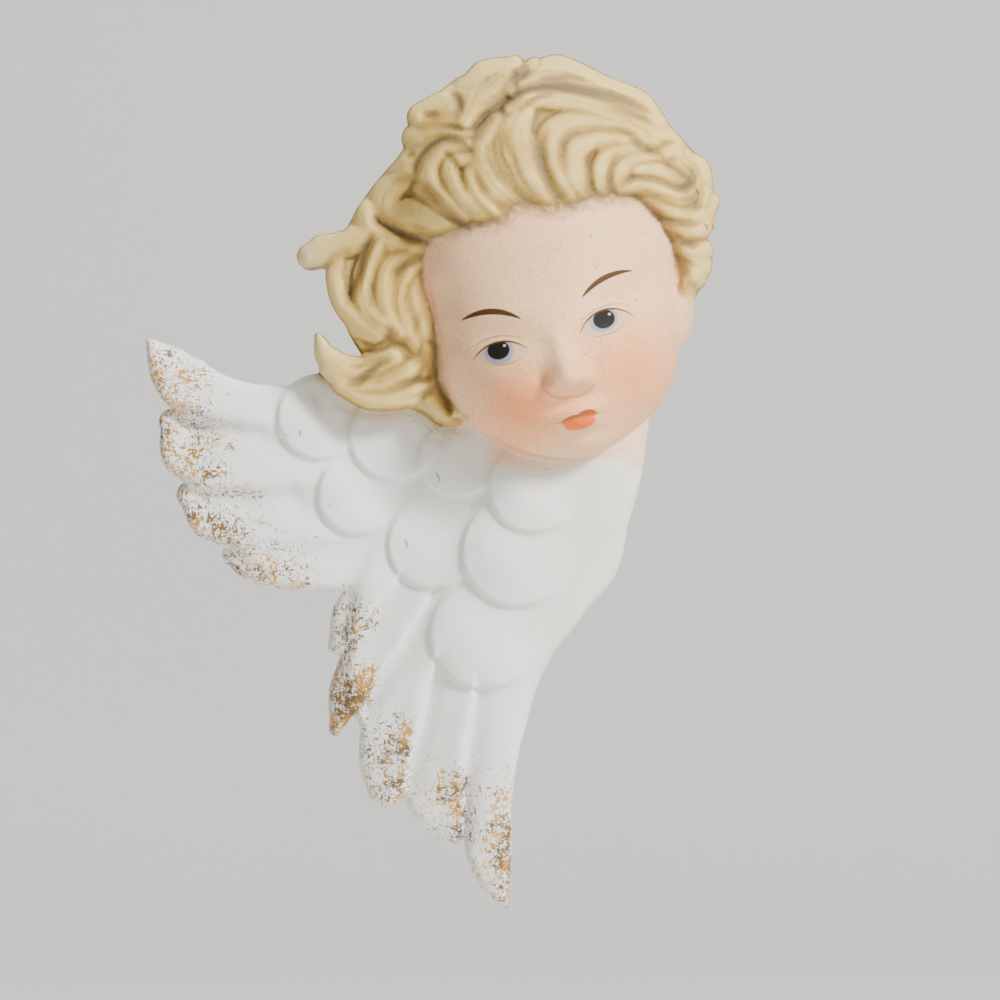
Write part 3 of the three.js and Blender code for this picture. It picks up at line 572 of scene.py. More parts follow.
    def _scaled(self, sheet: Sheet, relief: Relief) -> Relief:
        """The relief with the swell of the coverts and the round scales laid over it like tiles.

        Args:
            sheet: the drawing's grid.
            relief: the wings' webs and feathers.

        Returns:
            The relief with its scales and quills.
        """
        x, z = sheet.mesh()
        height, edge = softened(relief.height, relief.edge < 0, self.web_softness), relief.edge
        near = np.zeros(x.shape)
        for scale in self.scales:
            dx, dz = x - scale.at[0], z - scale.at[1]
            radius = np.hypot(dx, dz)
            end = scale.radius * self.swell_to
            swell = scale.height - self.swell_sink + scale.lean[0] * dx + scale.lean[1] * dz
            swell = swell - self.swell_dome * (radius / scale.radius) ** 2
            swell = swell - self.swell_drop * ramp(scale.radius * self.swell_from, end, radius)
            height = blend_max(height, swell, self.swell_blend)
            edge = blend_min(edge, radius - scale.radius, self.scale_blend)
            near = np.maximum(near, 1 - ramp(scale.radius * self.swell_near, end, radius))
        smooth = softened(height, edge < 0, self.swell_softness)
        height = height + (smooth - height) * near
        for scale in self.scales:
            height = height + self._tile(scale, x, z)
        for spine in self.quills:
            laid = Band(spine, (1.0,) * len(spine)).lay(sheet)
            height[laid.window] += self._quill(laid, laid.place / (len(spine) - 1))
        return replace(relief, height=height, edge=edge)

    def _tile(self, scale: Scale, x: Array, z: Array) -> Array:
        """Rise of one round scale, free at its lower left and merged with the wing on the other side.

        Args:
            scale: the scale.
            x: places across, in units.
            z: heights, in units.

        Returns:
            The rise at each place.
        """
        dx, dz = x - scale.at[0], z - scale.at[1]
        turn = math.radians(scale.free)
        fade = ramp(*self.scale_fade, (dx * math.cos(turn) + dz * math.sin(turn)) / scale.radius)
        rim = scale.radius + self.scale_rim
        return self.scale_step * (1 - ramp(scale.radius - self.scale_edge, rim, np.hypot(dx, dz))) * fade

    def _quill(self, laid: Laid, share: Array) -> Array:
        """Rise of one quill, gentle at its left and steep toward the next feather.

        Args:
            laid: the quill's band.
            share: place along it, from nought to one.

        Returns:
            The rise inside the band's window.
        """
        ends = np.sin(math.pi * np.clip(share * self.quill_run + self.quill_start, 0, 1)) ** self.quill_taper
        rising = self.quill_rise * np.exp(-((laid.side / self.quill_gentle) ** 2))
        drop = self.quill_rise - (self.quill_rise + self.quill_fall) * ramp(0, self.quill_steep, laid.side)
        foot = -self.quill_fall * np.exp(-(((laid.side - self.quill_steep) / self.quill_reach) ** 2))
        falling = np.where(laid.side < self.quill_steep, drop, foot)
        return ends * np.where(laid.side < 0, rising, falling)


@dataclass(frozen=True)
class Slope:
    """A plain slope that the hair's ground turns into over a range of places."""

    base: float
    rise: float
    across: Point
    up: Point
    start: float = -8.0

    def over(self, ground: Array, x: Array, z: Array) -> Array:
        """The ground turned into the slope where the slope lies.

        Args:
            ground: the ground's height.
            x: places across, in units.
            z: heights, in units.

        Returns:
            The height.
        """
        share = ramp(*self.across, x) * ramp(*self.up, z)
        return ground + (self.base + self.rise * (x - self.start) - ground) * share


@dataclass(frozen=True)
class Hair:
    """The wavy hair: its bodies, the locks over them, and the partings cut between and into the locks."""

    hairline: tuple[Point, ...] = (
        (-7.2, 19.8), (-4.8, 21), (0, 21.6), (2, 23.1), (6, 22.8), (10, 24), (13.5, 24), (16.2, 21.4),
        (17.8, 17.8), (18.4, 15.5), (25, 12), (25, -9), (-6, -9), (-3.1, 2.5), (-4.8, 5.5), (-5.9, 9.5),
        (-7.2, 14), (-7.9, 17.5),
    )
    thickness: float = 2.0
    thickens: Point = (-0.3, 3.6)
    crown_at: Point = (5, 19.2)
    crown_turn: float = 16.5
    crown_radii: Point = (16.2, 18.4)
    crown_base: float = 7.5
    crown_dome: float = 14.6
    crown_softness: float = 0.03
    side: Slope = Slope(13.2, 0.42, (-5, -12), (28, 22))
    tail: Slope = Slope(11.6, 0.25, (-4, -8), (12, 7))
    thinning: float = 1.9
    temple_share: float = 0.45
    temple_across: Point = (-4, -7)
    temple_up: Point = (22, 18)
    tuck: float = 2.5
    tucked: Point = (1.4, -1)
    cap_at: Point = (4.4, 21.4)
    cap_turn: float = 10.0
    cap_radii: Point = (15.2, 15.6)
    cap_end: float = -0.2
    cap_sink: float = 0.25
    cap_blend: float = 0.4
    mass_round: float = 1.6
    mass_blend: float = 0.6
    lock_round: float = 0.55
    most_round: float = 0.7
    least_rise: float = 0.1
    rise_growth: float = 0.72
    rise_reach: float = 4.0
    lock_side: float = 1.5
    lock_blend: float = 0.5
    strand_depth: float = 0.18
    strand_share: float = 0.8
    strand_wander: float = 0.35
    strand_wave: float = 1.7
    strand_apart: float = 0.5
    strand_sharp: float = 2.5
    strand_even: float = 0.65
    strand_beat: float = 0.61
    strand_from: Point = (0.2, 1.5)
    masses: tuple[Band, ...] = (
        Band(((-7, 30.8), (-3, 34.6), (3, 36), (9, 34.6), (13.5, 32.6), (17.4, 28.6)),
            (2.2, 2.6, 2.2, 2, 2, 2)),
        Band(((-2, 29), (-7.5, 24.5), (-10.8, 19), (-10.9, 13.8), (-8.2, 9), (-5, 5)),
            (5, 5, 5.2, 4.7, 4, 2.6)),
        Band(((16.4, 23.6), (18, 20.4), (18.6, 17.4), (18.4, 15)), (1.8, 1.8, 1.5, 1)),
        Band(((-16.6, 8.4), (-13.5, 7), (-9.5, 7), (-6, 6)), (1.1, 2, 2.6, 2.6)),
        Band(((-15.6, 19.6), (-15.2, 16.6), (-13, 14)), (1.2, 1.5, 1.6)),
    )
    locks: tuple[Lock, ...] = (
        Lock(Band(((1.4, 38), (-0.9, 36.6), (-2.7, 34.6), (-3.6, 32.4)), (1, 2.1, 1.9, 0.9)), 1.2, 3),
        Lock(Band(((3.4, 37.8), (1.9, 36.9), (0.9, 35.4)), (1, 0.9, 0.5)), 1, 2),
        Lock(Band(((-3.4, 35), (-5.6, 33.9), (-7.7, 32.9)), (1.1, 1.5, 1.4)), 1.2, 0),
        Lock(Band(((-3.2, 32.7), (-6, 32), (-8.1, 30.8)), (0.8, 1.3, 1.5)), 0.9, 0),
        Lock(Band(((-2.9, 30.9), (-5.6, 31), (-8.2, 29.3), (-9.8, 27.3)), (0.6, 0.9, 1.2, 1.1)), 0.8, 2),
        Lock(Band(((2, 36.4), (5.5, 37.2), (10, 35.5), (13.5, 34.1), (15.6, 32.4)),
            (1, 1.8, 1.5, 1.5, 0.9)), 1.1, 4),
        Lock(Band(((1, 33.4), (4, 34.7), (8.5, 34), (13, 31.9), (16.8, 29.6), (19.4, 27), (20.2, 24.6)),
                  (0.6, 1, 1.3, 1.6, 1.5, 1.2, 1)), 1.2, 3),
        Lock(Band(((-0.4, 32.4), (-1.9, 29.9), (-1.5, 27.3), (0.2, 25), (2.2, 23.5)),
            (0.7, 1, 1.4, 1.3, 0.5)), 1.1, 4),
        Lock(Band(((2.4, 33.6), (1.3, 31.2), (1.6, 28.6), (2.9, 26), (4.9, 23.7)),
            (0.9, 1.7, 2, 1.7, 0.6)), 1.3, 5),
        Lock(Band(((12, 32), (8, 32.4), (5.2, 30.9), (4.8, 28.4), (6.1, 25.9), (7.9, 23.9)),
                  (0.8, 1.1, 1.2, 1.3, 1.3, 0.5)), 1.2, 3),
        Lock(Band(((13, 30.6), (9.8, 30.5), (7.4, 29.4), (7.1, 27.3), (7.9, 25.2), (9.2, 24)),
                  (0.6, 0.8, 1.1, 1.2, 1, 0.5)), 1.2, 3),
        Lock(Band(((14, 29.7), (11.2, 29.2), (9.9, 27.6), (9.8, 25.8), (10.5, 24.4)),
            (0.5, 0.8, 1, 0.9, 0.5)), 1, 3),
        Lock(Band(((16.2, 29), (13.4, 28.6), (12, 27.4), (11.8, 25.9), (12.4, 24.7)),
            (0.6, 0.9, 1, 0.8, 0.4)), 0.9, 3),
        Lock(Band(((11.8, 25.2), (14, 25.9), (16.4, 25.2), (18.4, 24.9), (19.8, 26.1), (19.7, 27.9),
            (18.4, 29.2)), (0.4, 0.8, 1, 1.1, 1.1, 1, 0.6)), 1.2, 3),
        Lock(Band(((13.6, 27.4), (15.6, 27.6), (17.2, 26.9), (18.2, 26.6)), (0.6, 0.9, 0.9, 0.5)), 1, 3),
        Lock(Band(((12.9, 24), (15, 24), (17.5, 23), (19.6, 23.1), (20.7, 24.6)), (0.4, 0.8, 1.1, 1.2, 1)),
            1, 3),
        Lock(Band(((15.8, 22.3), (17.6, 21.5), (19.4, 21.6), (20.3, 22.4)), (0.4, 0.9, 1.1, 0.9)), 0.9, 2),
        Lock(Band(((17.1, 20), (18.6, 19.4), (19.8, 19.6)), (0.5, 1.1, 1.2)), 0.9, 2),
        Lock(Band(((18.4, 19.4), (19.3, 18.2), (19.3, 17)), (0.8, 1.6, 1.1)), 0.9, 2),
        Lock(Band(((-3.2, 30), (-5.6, 29.7), (-7.3, 28), (-7.2, 26), (-5.6, 24.2), (-3.4, 22.6)),
                  (0.6, 0.9, 1.1, 1.3, 1.1, 0.5)), 1.2, 3),
        Lock(Band(((-3, 28.6), (-4.8, 28), (-4.7, 26.2), (-3.4, 24.2), (-1.4, 22.5)),
            (0.5, 0.8, 1, 1, 0.5)), 1.1, 3),
        Lock(Band(((-2.4, 28.2), (-3, 26.4), (-1.9, 24.2), (0.2, 22.7)), (0.5, 0.8, 0.9, 0.5)), 1, 3),
        Lock(Band(((-9.2, 27.2), (-11.1, 25.2), (-11, 23.6), (-8.7, 23), (-6, 22), (-3.6, 21.4)),
                  (0.8, 1.2, 1.5, 1.6, 1.2, 0.5)), 1.3, 3),
        Lock(Band(((-13.2, 23.4), (-12.8, 21.8), (-10.8, 20.5), (-8.6, 19.9), (-6.6, 19.6)),
            (1, 1.2, 1.1, 0.9, 0.5)), 1.2, 3),
        Lock(Band(((-13.6, 21), (-16, 20.2), (-17.6, 19.7), (-18.9, 19.2)), (1.2, 1.25, 1.5, 1.15)), 1.3, 0),
        Lock(Band(((-16.3, 19), (-16.4, 16.9), (-15.7, 14.6), (-14, 12.8), (-12.3, 11.7)),
            (0.8, 0.8, 0.9, 1.2, 1)), 1, 0),
        Lock(Band(((-11.9, 20.6), (-13.1, 18.6), (-13.7, 16.2), (-13.2, 13.9), (-11.6, 12.4)),
                  (0.9, 0.8, 0.85, 1, 0.9)), 1.3, 2),
        Lock(Band(((-9.4, 19.3), (-11.2, 17.9), (-11.6, 15.6), (-11.2, 13.2), (-9.8, 11.6)),
            (0.7, 1, 1.1, 1.1, 0.9)), 1.1, 4),
        Lock(Band(((-7.9, 18.3), (-9.4, 16.8), (-9.8, 14.8), (-9.3, 12.4), (-8.2, 10.2)),
            (0.4, 0.8, 0.9, 1, 0.8)), 0.9, 3),
        Lock(Band(((-18, 11.2), (-17.2, 9.3), (-15.2, 8), (-12.9, 8), (-10.6, 9)),
            (0.4, 1.1, 1.3, 1.2, 0.9)), 1.2, 0),
        Lock(Band(((-17.1, 8.1), (-15, 6.6), (-12.2, 6.5), (-9.6, 7.4), (-7.4, 8.8)),
            (0.8, 1.1, 1.1, 1, 0.7)), 1.1, 3),
        Lock(Band(((-16, 6.4), (-13, 5), (-9.6, 5.2), (-7.2, 6.6)), (0.6, 0.8, 0.9, 0.7)), 0.9, 3),
        Lock(Band(((-7.2, 9.8), (-7, 7.2), (-6, 4.8), (-4.1, 2.8)), (0.9, 1.1, 1.1, 0.5)), 1, 3),
    )
    spread: float = 1.12
    groove_span: Point = (0.02, 0.98)
    groove_cut: float = 0.52
    groove_flank: float = 1.6
    groove_blend: float = 0.1
    cut_from: Point = (0.1, 1.2)
    ink_spread: float = 0.75
    ink_least: float = 0.22
    ink_flank: float = 1.5
    ink_most: float = 1.2
    ink_from: Point = (-0.4, 0.8)
    grooves: tuple[Groove, ...] = (
        Groove(((-2.9, 30), (-2.2, 31.6), (-1.2, 32.8), (0, 33.8), (1, 34.6), (2.3, 35.2)), 0.95, 1.5),
        Groove(((1, 34.9), (3, 35.5), (5, 35.7), (7, 35.6), (9, 35.3), (11, 34.9), (13, 34.2), (15, 33.4),
                (16.3, 32.9)), 0.6, 1.1),
        Groove(((1.6, 32.9), (2.2, 33.6), (3.2, 34.4), (4.5, 35), (6, 35.3), (8, 35.4)), 0.4, 0.7),
        Groove(((2, 35.2), (4, 36.2), (6, 36.7), (8, 36.5), (10, 36.2)), 0.45, 0.45),
        Groove(((10.3, 34.2), (11.5, 33.6), (13, 33), (14.5, 32.6), (15.6, 32.6)), 0.35, 0.45),
        Groove(((0.3, 35), (1.5, 36), (1.4, 38)), 0.4, 0.6),
        Groove(((1.3, 35.9), (2.3, 37), (3, 38.5)), 0.4, 0.6),
        Groove(((4.4, 31.3), (4, 30), (4, 29), (4.3, 27.5), (5, 26), (5.8, 25), (6.3, 24.3)), 0.7, 0.95),
        Groove(((5.9, 28), (6, 29), (6.2, 30), (7, 31), (8.5, 30.9)), 0.4, 0.6),
        Groove(((8, 31), (9.5, 31.4), (11, 31.4), (12.5, 31.1), (13.5, 30), (14.5, 29.5), (15.5, 29.6),
            (16.5, 30.3), (17.5, 30.4), (18.5, 29.8), (19.5, 28.8), (20, 27.5), (20.2, 26), (20, 24.5)),
            0.45, 0.7),
        Groove(((9.8, 30), (9.2, 29), (8.8, 27.5), (8.9, 26), (9.3, 24.9)), 0.35, 0.6),
        Groove(((11.8, 29.2), (11, 28), (10.6, 26.5), (10.7, 25)), 0.35, 0.55),
        Groove(((-1.2, 30.5), (-1.4, 28.8), (-0.8, 27.5), (0, 26.2), (1, 25.2)), 0.35, 0.4),
        Groove(((0, 31), (0, 29), (0.8, 27.5), (1.6, 26)), 0.3, 0.3),
        Groove(((0.6, 31.5), (0.6, 30), (1.2, 28.5), (2, 26.5), (3, 25)), 0.35, 0.4),
        Groove(((12, 26), (13, 26.6), (14.5, 26.6), (16, 26.2), (17.2, 25.7), (18, 25.7), (18.8, 26.3),
            (19, 27.2), (18.8, 27.7)), 0.4, 0.85),
        Groove(((16.2, 27.7), (17, 28.6), (17.6, 28.9)), 0.3, 0.4),
        Groove(((13.5, 25.5), (15.5, 25), (17.5, 24.6), (19, 24.8), (19.7, 25.8)), 0.35, 0.5),
        Groove(((12.5, 24.6), (13.5, 24.5), (15, 23.4), (16.5, 22.6), (18, 22.3), (19.3, 22.8)), 0.35, 0.6),
        Groove(((17, 22), (18, 20.4), (19.3, 20.2), (20.2, 20.6), (20.7, 20.9)), 0.4, 0.7),
        Groove(((17.5, 19.2), (19, 18.2), (19.7, 17.5)), 0.35, 0.5),
        Groove(((-7.8, 26.3), (-6.8, 25), (-5.5, 23.7), (-4, 22.4), (-2.5, 21.8), (0, 22.2), (1, 22.5)),
            0.5, 1.1),
        Groove(((-10.5, 26.3), (-9.5, 26.6), (-8.5, 27.5), (-8, 28.6), (-7, 29.7), (-5.8, 30.4), (-4.5, 30.3),
                (-3.5, 29.8), (-2.8, 29)), 0.6, 1.2),
        Groove(((-9.5, 26), (-8.6, 26.4), (-7.8, 26.3)), 0.4, 0.6),
        Groove(((-5.8, 29.3), (-4.8, 28.5), (-4, 27), (-3.3, 25.3)), 0.35, 0.6),
        Groove(((-12.8, 23), (-12, 22.5), (-10, 21.6), (-9, 21), (-7.5, 20.6), (-6, 20.3)), 0.45, 0.9),
        Groove(((-12.8, 21), (-13.3, 20), (-13.6, 19), (-14, 17.5), (-14.6, 16), (-15.3, 14.5)), 0.55, 1.4),
        Groove(((-7.9, 18.9), (-9.5, 18.3), (-10.5, 17.5), (-11, 16)), 0.35, 0.5),
        Groove(((-12.7, 16.8), (-12.9, 15.2), (-12.9, 14)), 0.3, 0.5),
        Groove(((-8.5, 16.8), (-9.3, 15.8), (-9.5, 14.5), (-9.3, 13)), 0.3, 0.4),
        Groove(((-8.2, 13.5), (-8.4, 12), (-8.6, 11.2)), 0.35, 0.4),
        Groove(((-11.6, 12.2), (-10.6, 11.4), (-9.5, 10.2)), 0.4, 0.5),
        Groove(((-15.8, 6.3), (-14.3, 6.6), (-13.2, 7.5), (-12, 8.5), (-10.8, 8.9)), 0.4, 0.9),
        Groove(((-15.5, 8.5), (-14, 8.2), (-12.8, 8.6)), 0.35, 0.5),
        Groove(((-6.5, 8.5), (-7, 7.2), (-8.5, 6.8), (-10.5, 6.3)), 0.4, 0.7),
        Groove(((-6.2, 6.5), (-7.2, 5.6), (-9, 5), (-10.5, 4.6)), 0.35, 0.6),
        Groove(((-8, 33.2), (-7, 33), (-6, 33.1)), 0.45, 0.8),
        Groove(((-7, 31.7), (-5.5, 31.8), (-4, 31.5), (-3, 31.3)), 0.35, 0.6),
        Groove(((-9.5, 28.7), (-8.8, 29), (-8, 28.9)), 0.5, 0.7),
        Groove(((-5.5, 35.6), (-4.5, 35), (-4, 34), (-3.9, 33)), 0.45, 0.9),
    )

    def distance(self, sheet: Sheet) -> Array:
        """Distance to the hairline at each grid node, above nought on the hair's side.

        Args:
            sheet: the drawing's grid.

        Returns:
            The distance.
        """
        x, z = sheet.mesh()
        spots = traced(self.hairline, closed=True)
        inside = np.zeros(x.shape, bool)
        least = np.full(x.shape, FAR * FAR)
        for a, b in zip(spots, spots[1:]):
            run = b - a
            share = np.clip(((x - a[0]) * run[0] + (z - a[1]) * run[1]) / (run @ run), 0, 1)
            least = np.minimum(least, (x - a[0] - share * run[0]) ** 2 + (z - a[1] - share * run[1]) ** 2)
            if a[1] != b[1]:
                crosses = (a[1] > z) != (b[1] > z)
                inside ^= crosses & (x < a[0] + (z - a[1]) / (b[1] - a[1]) * run[0])
        return np.where(inside, -1, 1) * np.sqrt(least)

    def ground(self, sheet: Sheet, from_line: Array) -> Array:
        """Height of the hair under its locks, also past the edge of the head.

        Args:
            sheet: the drawing's grid.
            from_line: distance to the hairline at each grid node.

        Returns:
            The height over the wall.
        """
        x, z = sheet.mesh()
        u, v = turned(x, z, self.crown_at, self.crown_turn)
        within = 1 - (u / self.crown_radii[0]) ** 2 - (v / self.crown_radii[1]) ** 2
        dome = np.sqrt(0.5 * (within + np.sqrt(within ** 2 + self.crown_softness)))
        ground = self.crown_base + self.crown_dome * dome
        for slope in (self.side, self.tail):
            ground = slope.over(ground, x, z)
        temple = ramp(*self.temple_across, x) * ramp(*self.temple_up, z)
        thin = self.thinning * (1 - ramp(*self.thickens, from_line)) * (1 - self.temple_share * temple)
        return ground - thin - self.tuck * ramp(*self.tucked, from_line)

    def carve(self, sheet: Sheet, from_line: Array) -> Relief:
        """Relief of the locks over the wall.

        Args:
            sheet: the drawing's grid.
            from_line: distance to the hairline at each grid node.

        Returns:
            The relief.
        """
        ground = self.ground(sheet, from_line)
        relief = Relief.blank(sheet)
        for mass in self.masses:
            laid = mass.lay(sheet)
            top = ground[laid.window] - self.mass_round + self.mass_round * round_top(laid.across)
            relief.lay(laid, top, self.mass_blend)
        self._crown(sheet, ground, from_line, relief)
        for number, lock in enumerate(self.locks):
            laid = lock.band.lay(sheet, self.spread)
            rounding = np.minimum(laid.half * self.lock_round, self.most_round)
            near = from_line[laid.window]
            rise = lock.rise * (self.least_rise + self.rise_growth * ramp(0, self.rise_reach, near))
            top = ground[laid.window] + rise - rounding * laid.across ** 2
            if lock.strands:
                combed = self._combed(lock, laid, number)
                combed = combed * round_top(laid.across) * ramp(*self.strand_from, near)
                top = top - self.strand_depth * combed
            relief.drape(laid, top - self.lock_side * np.maximum(laid.edge, 0), self.lock_blend, number)
        return relief

    def _combed(self, lock: Lock, laid: Laid, number: int) -> Array:
        """How deep the comb has cut at each place across a lock, from nought to one.

        Args:
            lock: the lock.
            laid: its band.
            number: its number, which sets its strands apart from the next lock's.

        Returns:
            The depth as a share of the deepest.
        """
        wander = self.strand_wander * np.sin(self.strand_wave * laid.place + number)
        wander = wander + self.strand_apart * number
        strand = math.pi * lock.strands * self.strand_share * laid.across / 2 + wander
        uneven = self.strand_even + (1 - self.strand_even) * np.sin(strand * self.strand_beat + number)
        return (1 - np.abs(np.sin(strand))) ** self.strand_sharp * uneven

    def _crown(self, sheet: Sheet, ground: Array, from_line: Array, relief: Relief) -> None:
        """Lays the hair's ground over the top of the head.

        Args:
            sheet: the drawing's grid.
            ground: height of the hair's ground.
            from_line: distance to the hairline at each grid node.
            relief: the relief laid on.
        """
        x, z = sheet.mesh()
        u, v = turned(x, z, self.cap_at, self.cap_turn)
        edge = (np.hypot(u / self.cap_radii[0], v / self.cap_radii[1]) - 1) * self.cap_radii[0]
        edge = np.maximum(edge, self.cap_end - from_line)
        joined = blend_max(relief.height, ground - self.cap_sink, self.cap_blend)
        relief.height[:] = np.where(edge < 0, joined, relief.height)
        relief.edge[:] = np.minimum(relief.edge, edge)

    def parting(self, sheet: Sheet, from_line: Array) -> tuple[Array, Array]:
        """Depth of the grooves at each grid node, and the wash of paint that has run into them.

        Args:
            sheet: the drawing's grid.
            from_line: distance to the hairline at each grid node.

        Returns:
            The depth and the wash.
        """
        depth = np.zeros(from_line.shape)
        wash = np.zeros(from_line.shape)
        for groove in self.grooves:
            laid = Band(groove.spine, (groove.half,) * len(groove.spine)).lay(sheet)
            share = np.clip(laid.place / (len(groove.spine) - 1), *self.groove_span)
            ends = np.sqrt(np.sin(math.pi * share))
            cut = self.groove_cut * groove.depth * ends * np.exp(-np.abs(laid.across) ** self.groove_flank)
            soak = self.ink_spread * groove.half + self.ink_least
            soaked = np.exp(-np.abs(laid.side / soak) ** self.ink_flank)
            ink = ends * soaked * min(groove.depth, self.ink_most)
            depth[laid.window] = blend_max(depth[laid.window], cut, self.groove_blend)
            wash[laid.window] = np.maximum(wash[laid.window], ink)
        return depth * ramp(*self.cut_from, from_line), wash * ramp(*self.ink_from, from_line)


@dataclass(frozen=True)
class Face:
    """The head under the hair, and the relief of the features over it."""

    cranium: Egg = Egg((5, 19.2), (13.6, 15.8, 12.9), 7.5)
    jaw: Egg = Egg((5.7, 11.1), (12.2, 12.1, 12.6), 9)
    temple: Egg = Egg((16.1, 14.9), (3, 4.8, 4.5), 8)
    blend: float = 2.2
    swellings: tuple[Swelling, ...] = (
        Swelling((6.75, 6.8), (1.3, 1.15), 16.5, 1.65),
        Swelling((5.1, 6.25), (0.62, 0.6), 16.5, 0.85),
        Swelling((8.55, 7.0), (0.62, 0.6), 16.5, 0.85),
        Swelling((4.1, 6.5), (0.4, 0.8), 16.5, -0.3),
        Swelling((9.5, 7.6), (0.4, 0.8), 16.5, -0.3),
        Swelling((7.0, 4.85), (1.9, 0.6), 16.5, -1.0),
        Swelling((0.3, 10.9), (2.6, 1.5), 8, -1),
        Swelling((10.5, 13.9), (2.6, 1.5), 20, -1),
        Swelling((0.1, 9.7), (1.7, 1.05), 6, 0.55),
        Swelling((10.4, 12.7), (1.7, 1.05), 18, 0.55),
        Swelling((0, 13.2), (3.4, 1), 6, 0.45),
        Swelling((10.4, 16.6), (3.2, 1), 28, 0.45),
        Swelling((1.4, 4.9), (3, 2.6), 0, 0.7),
        Swelling((12.6, 8.2), (3, 2.8), 0, 0.6),
        Swelling((7.8, 3.1), (2.6, 1.9), 16.5, 0.75),
        Swelling((7.9, 3.9), (1.4, 0.5), 16.5, 0.35),
        Swelling((7.9, 2.5), (1, 0.5), 16.5, 0.42),
        Swelling((8.15, 1.45), (1.6, 0.5), 16.5, -0.35),
        Swelling((8.6, -0.1), (2.3, 1.3), 16.5, 0.75),
    )
    bridge: Band = Band(((5, 12.6), (5.7, 10.2), (6.4, 7.6)), (1.1, 1.1, 1.35))
    bridge_height: tuple[float, float] = (0.25, 1.15)

    def carve(self, sheet: Sheet) -> Array:
        """Relief of the features at each grid node.

        Args:
            sheet: the drawing's grid.

        Returns:
            The relief.
        """
        x, z = sheet.mesh()
        relief = sum(swelling.over(x, z) for swelling in self.swellings)
        laid = self.bridge.lay(sheet, reach=5)
        share = laid.place / (len(self.bridge.spine) - 1)
        low, high = self.bridge_height
        relief[laid.window] += np.exp(-laid.across ** 2) * (low + (high - low) * share) * ramp(0, 0.35, share)
        return relief

    def skull(self, x: Array, z: Array, d: float) -> Array:
        """Distance to the plain head at one depth.

        Args:
            x: places across, in units.
            z: heights, in units.
            d: depth in front of the wall.

        Returns:
            The distance, below nought inside.
        """
        egg = blend_min(self.cranium.distance(x, z, d), self.jaw.distance(x, z, d), self.blend)
        return blend_min(egg, self.temple.distance(x, z, d), self.blend)


@dataclass(frozen=True)
class Grid:
    """The whole form as a field on a block of nodes, and what owns each place of it."""

    sheet: Sheet
    step: float
    values: Array
    skin: Array
    lock: Array

    @property
    def first(self) -> float:
        """Depth of the first layer, half a step behind the wall plane."""
        return -0.5 * self.step


@dataclass(frozen=True)
class Casting:
    """The bisque casting: wings, head and hair in one piece, with the nail's blind hole behind."""

    sheet: Sheet = Sheet()
    wings: Wings = Wings()
    hair: Hair = Hair()
    face: Face = Face()
    wing_rim: float = 0.94
    lock_rim: float = 0.43
    layer: float = 0.0005 / DEPTH_UNIT
    deepest: float = 27.0
    hole_radius: float = 0.0025 / UNIT
    hole_depth: float = 0.006 / DEPTH_UNIT
    hole_rise: float = 0.020 / UNIT
    feature_share: float = 0.93
    features_from: Point = (9, 15)
    wing_steepness: float = 0.85
    lock_steepness: float = 0.8
    hair_end: float = -1.0

    def fill(self) -> tuple[Grid, dict[str, Array]]:
        """Works out the field of the whole form and the drawing's maps.

        Returns:
            The field on its block of nodes, and the maps by name, each on the sheet.
        """
        sheet = self.sheet
        x, z = sheet.mesh()
        from_line = self.hair.distance(sheet)
        wing = self.wings.carve(sheet)
        lock = self.hair.carve(sheet, from_line)
        cut, wash = self.hair.parting(sheet, from_line)
        features = self.face.carve(sheet)
        thickness = self.hair.thickness * ramp(*self.hair.thickens, from_line)
        bore = np.hypot(x, z - self.hole_rise) - self.hole_radius
        depths = np.abs(np.arange(0, self.deepest / self.layer) - 0.5) * self.layer
        layers, skins, owned = [], [], []
        for d in depths:
            skin = self.feature_share * features * float(ramp(*self.features_from, np.array(d)))
            head = self.face.skull(x, z, d) - skin - thickness + cut
            wings = rounded_edge(wing.edge, self.wing_steepness * (d - wing.height), self.wing_rim)
            locks = rounded_edge(lock.edge, self.lock_steepness * (d - lock.height) + cut, self.lock_rim)
            locks = np.where(from_line < self.hair_end, FAR, locks)
            whole = np.minimum(np.minimum(head, wings), locks)
            layers.append(np.maximum(whole, -np.maximum(bore, d - self.hole_depth)))
            skins.append(wings - np.minimum(head, locks))
            owned.append(head - locks)
        stack = [np.stack(part).astype(np.float32) for part in (layers, skins, owned)]
        maps = {"from_line": from_line, "wash": wash, "lock_edge": lock.edge}
        maps |= {"comb": lock.comb, "run": lock.run}
        return Grid(sheet, self.layer, *stack), maps


CORNERS = [(j, k, i) for j in (0, 1) for k in (0, 1) for i in (0, 1)]
EDGES = [(a, b) for a, one in enumerate(CORNERS) for b, other in enumerate(CORNERS)
         if a < b and sum(p != q for p, q in zip(one, other)) == 1]


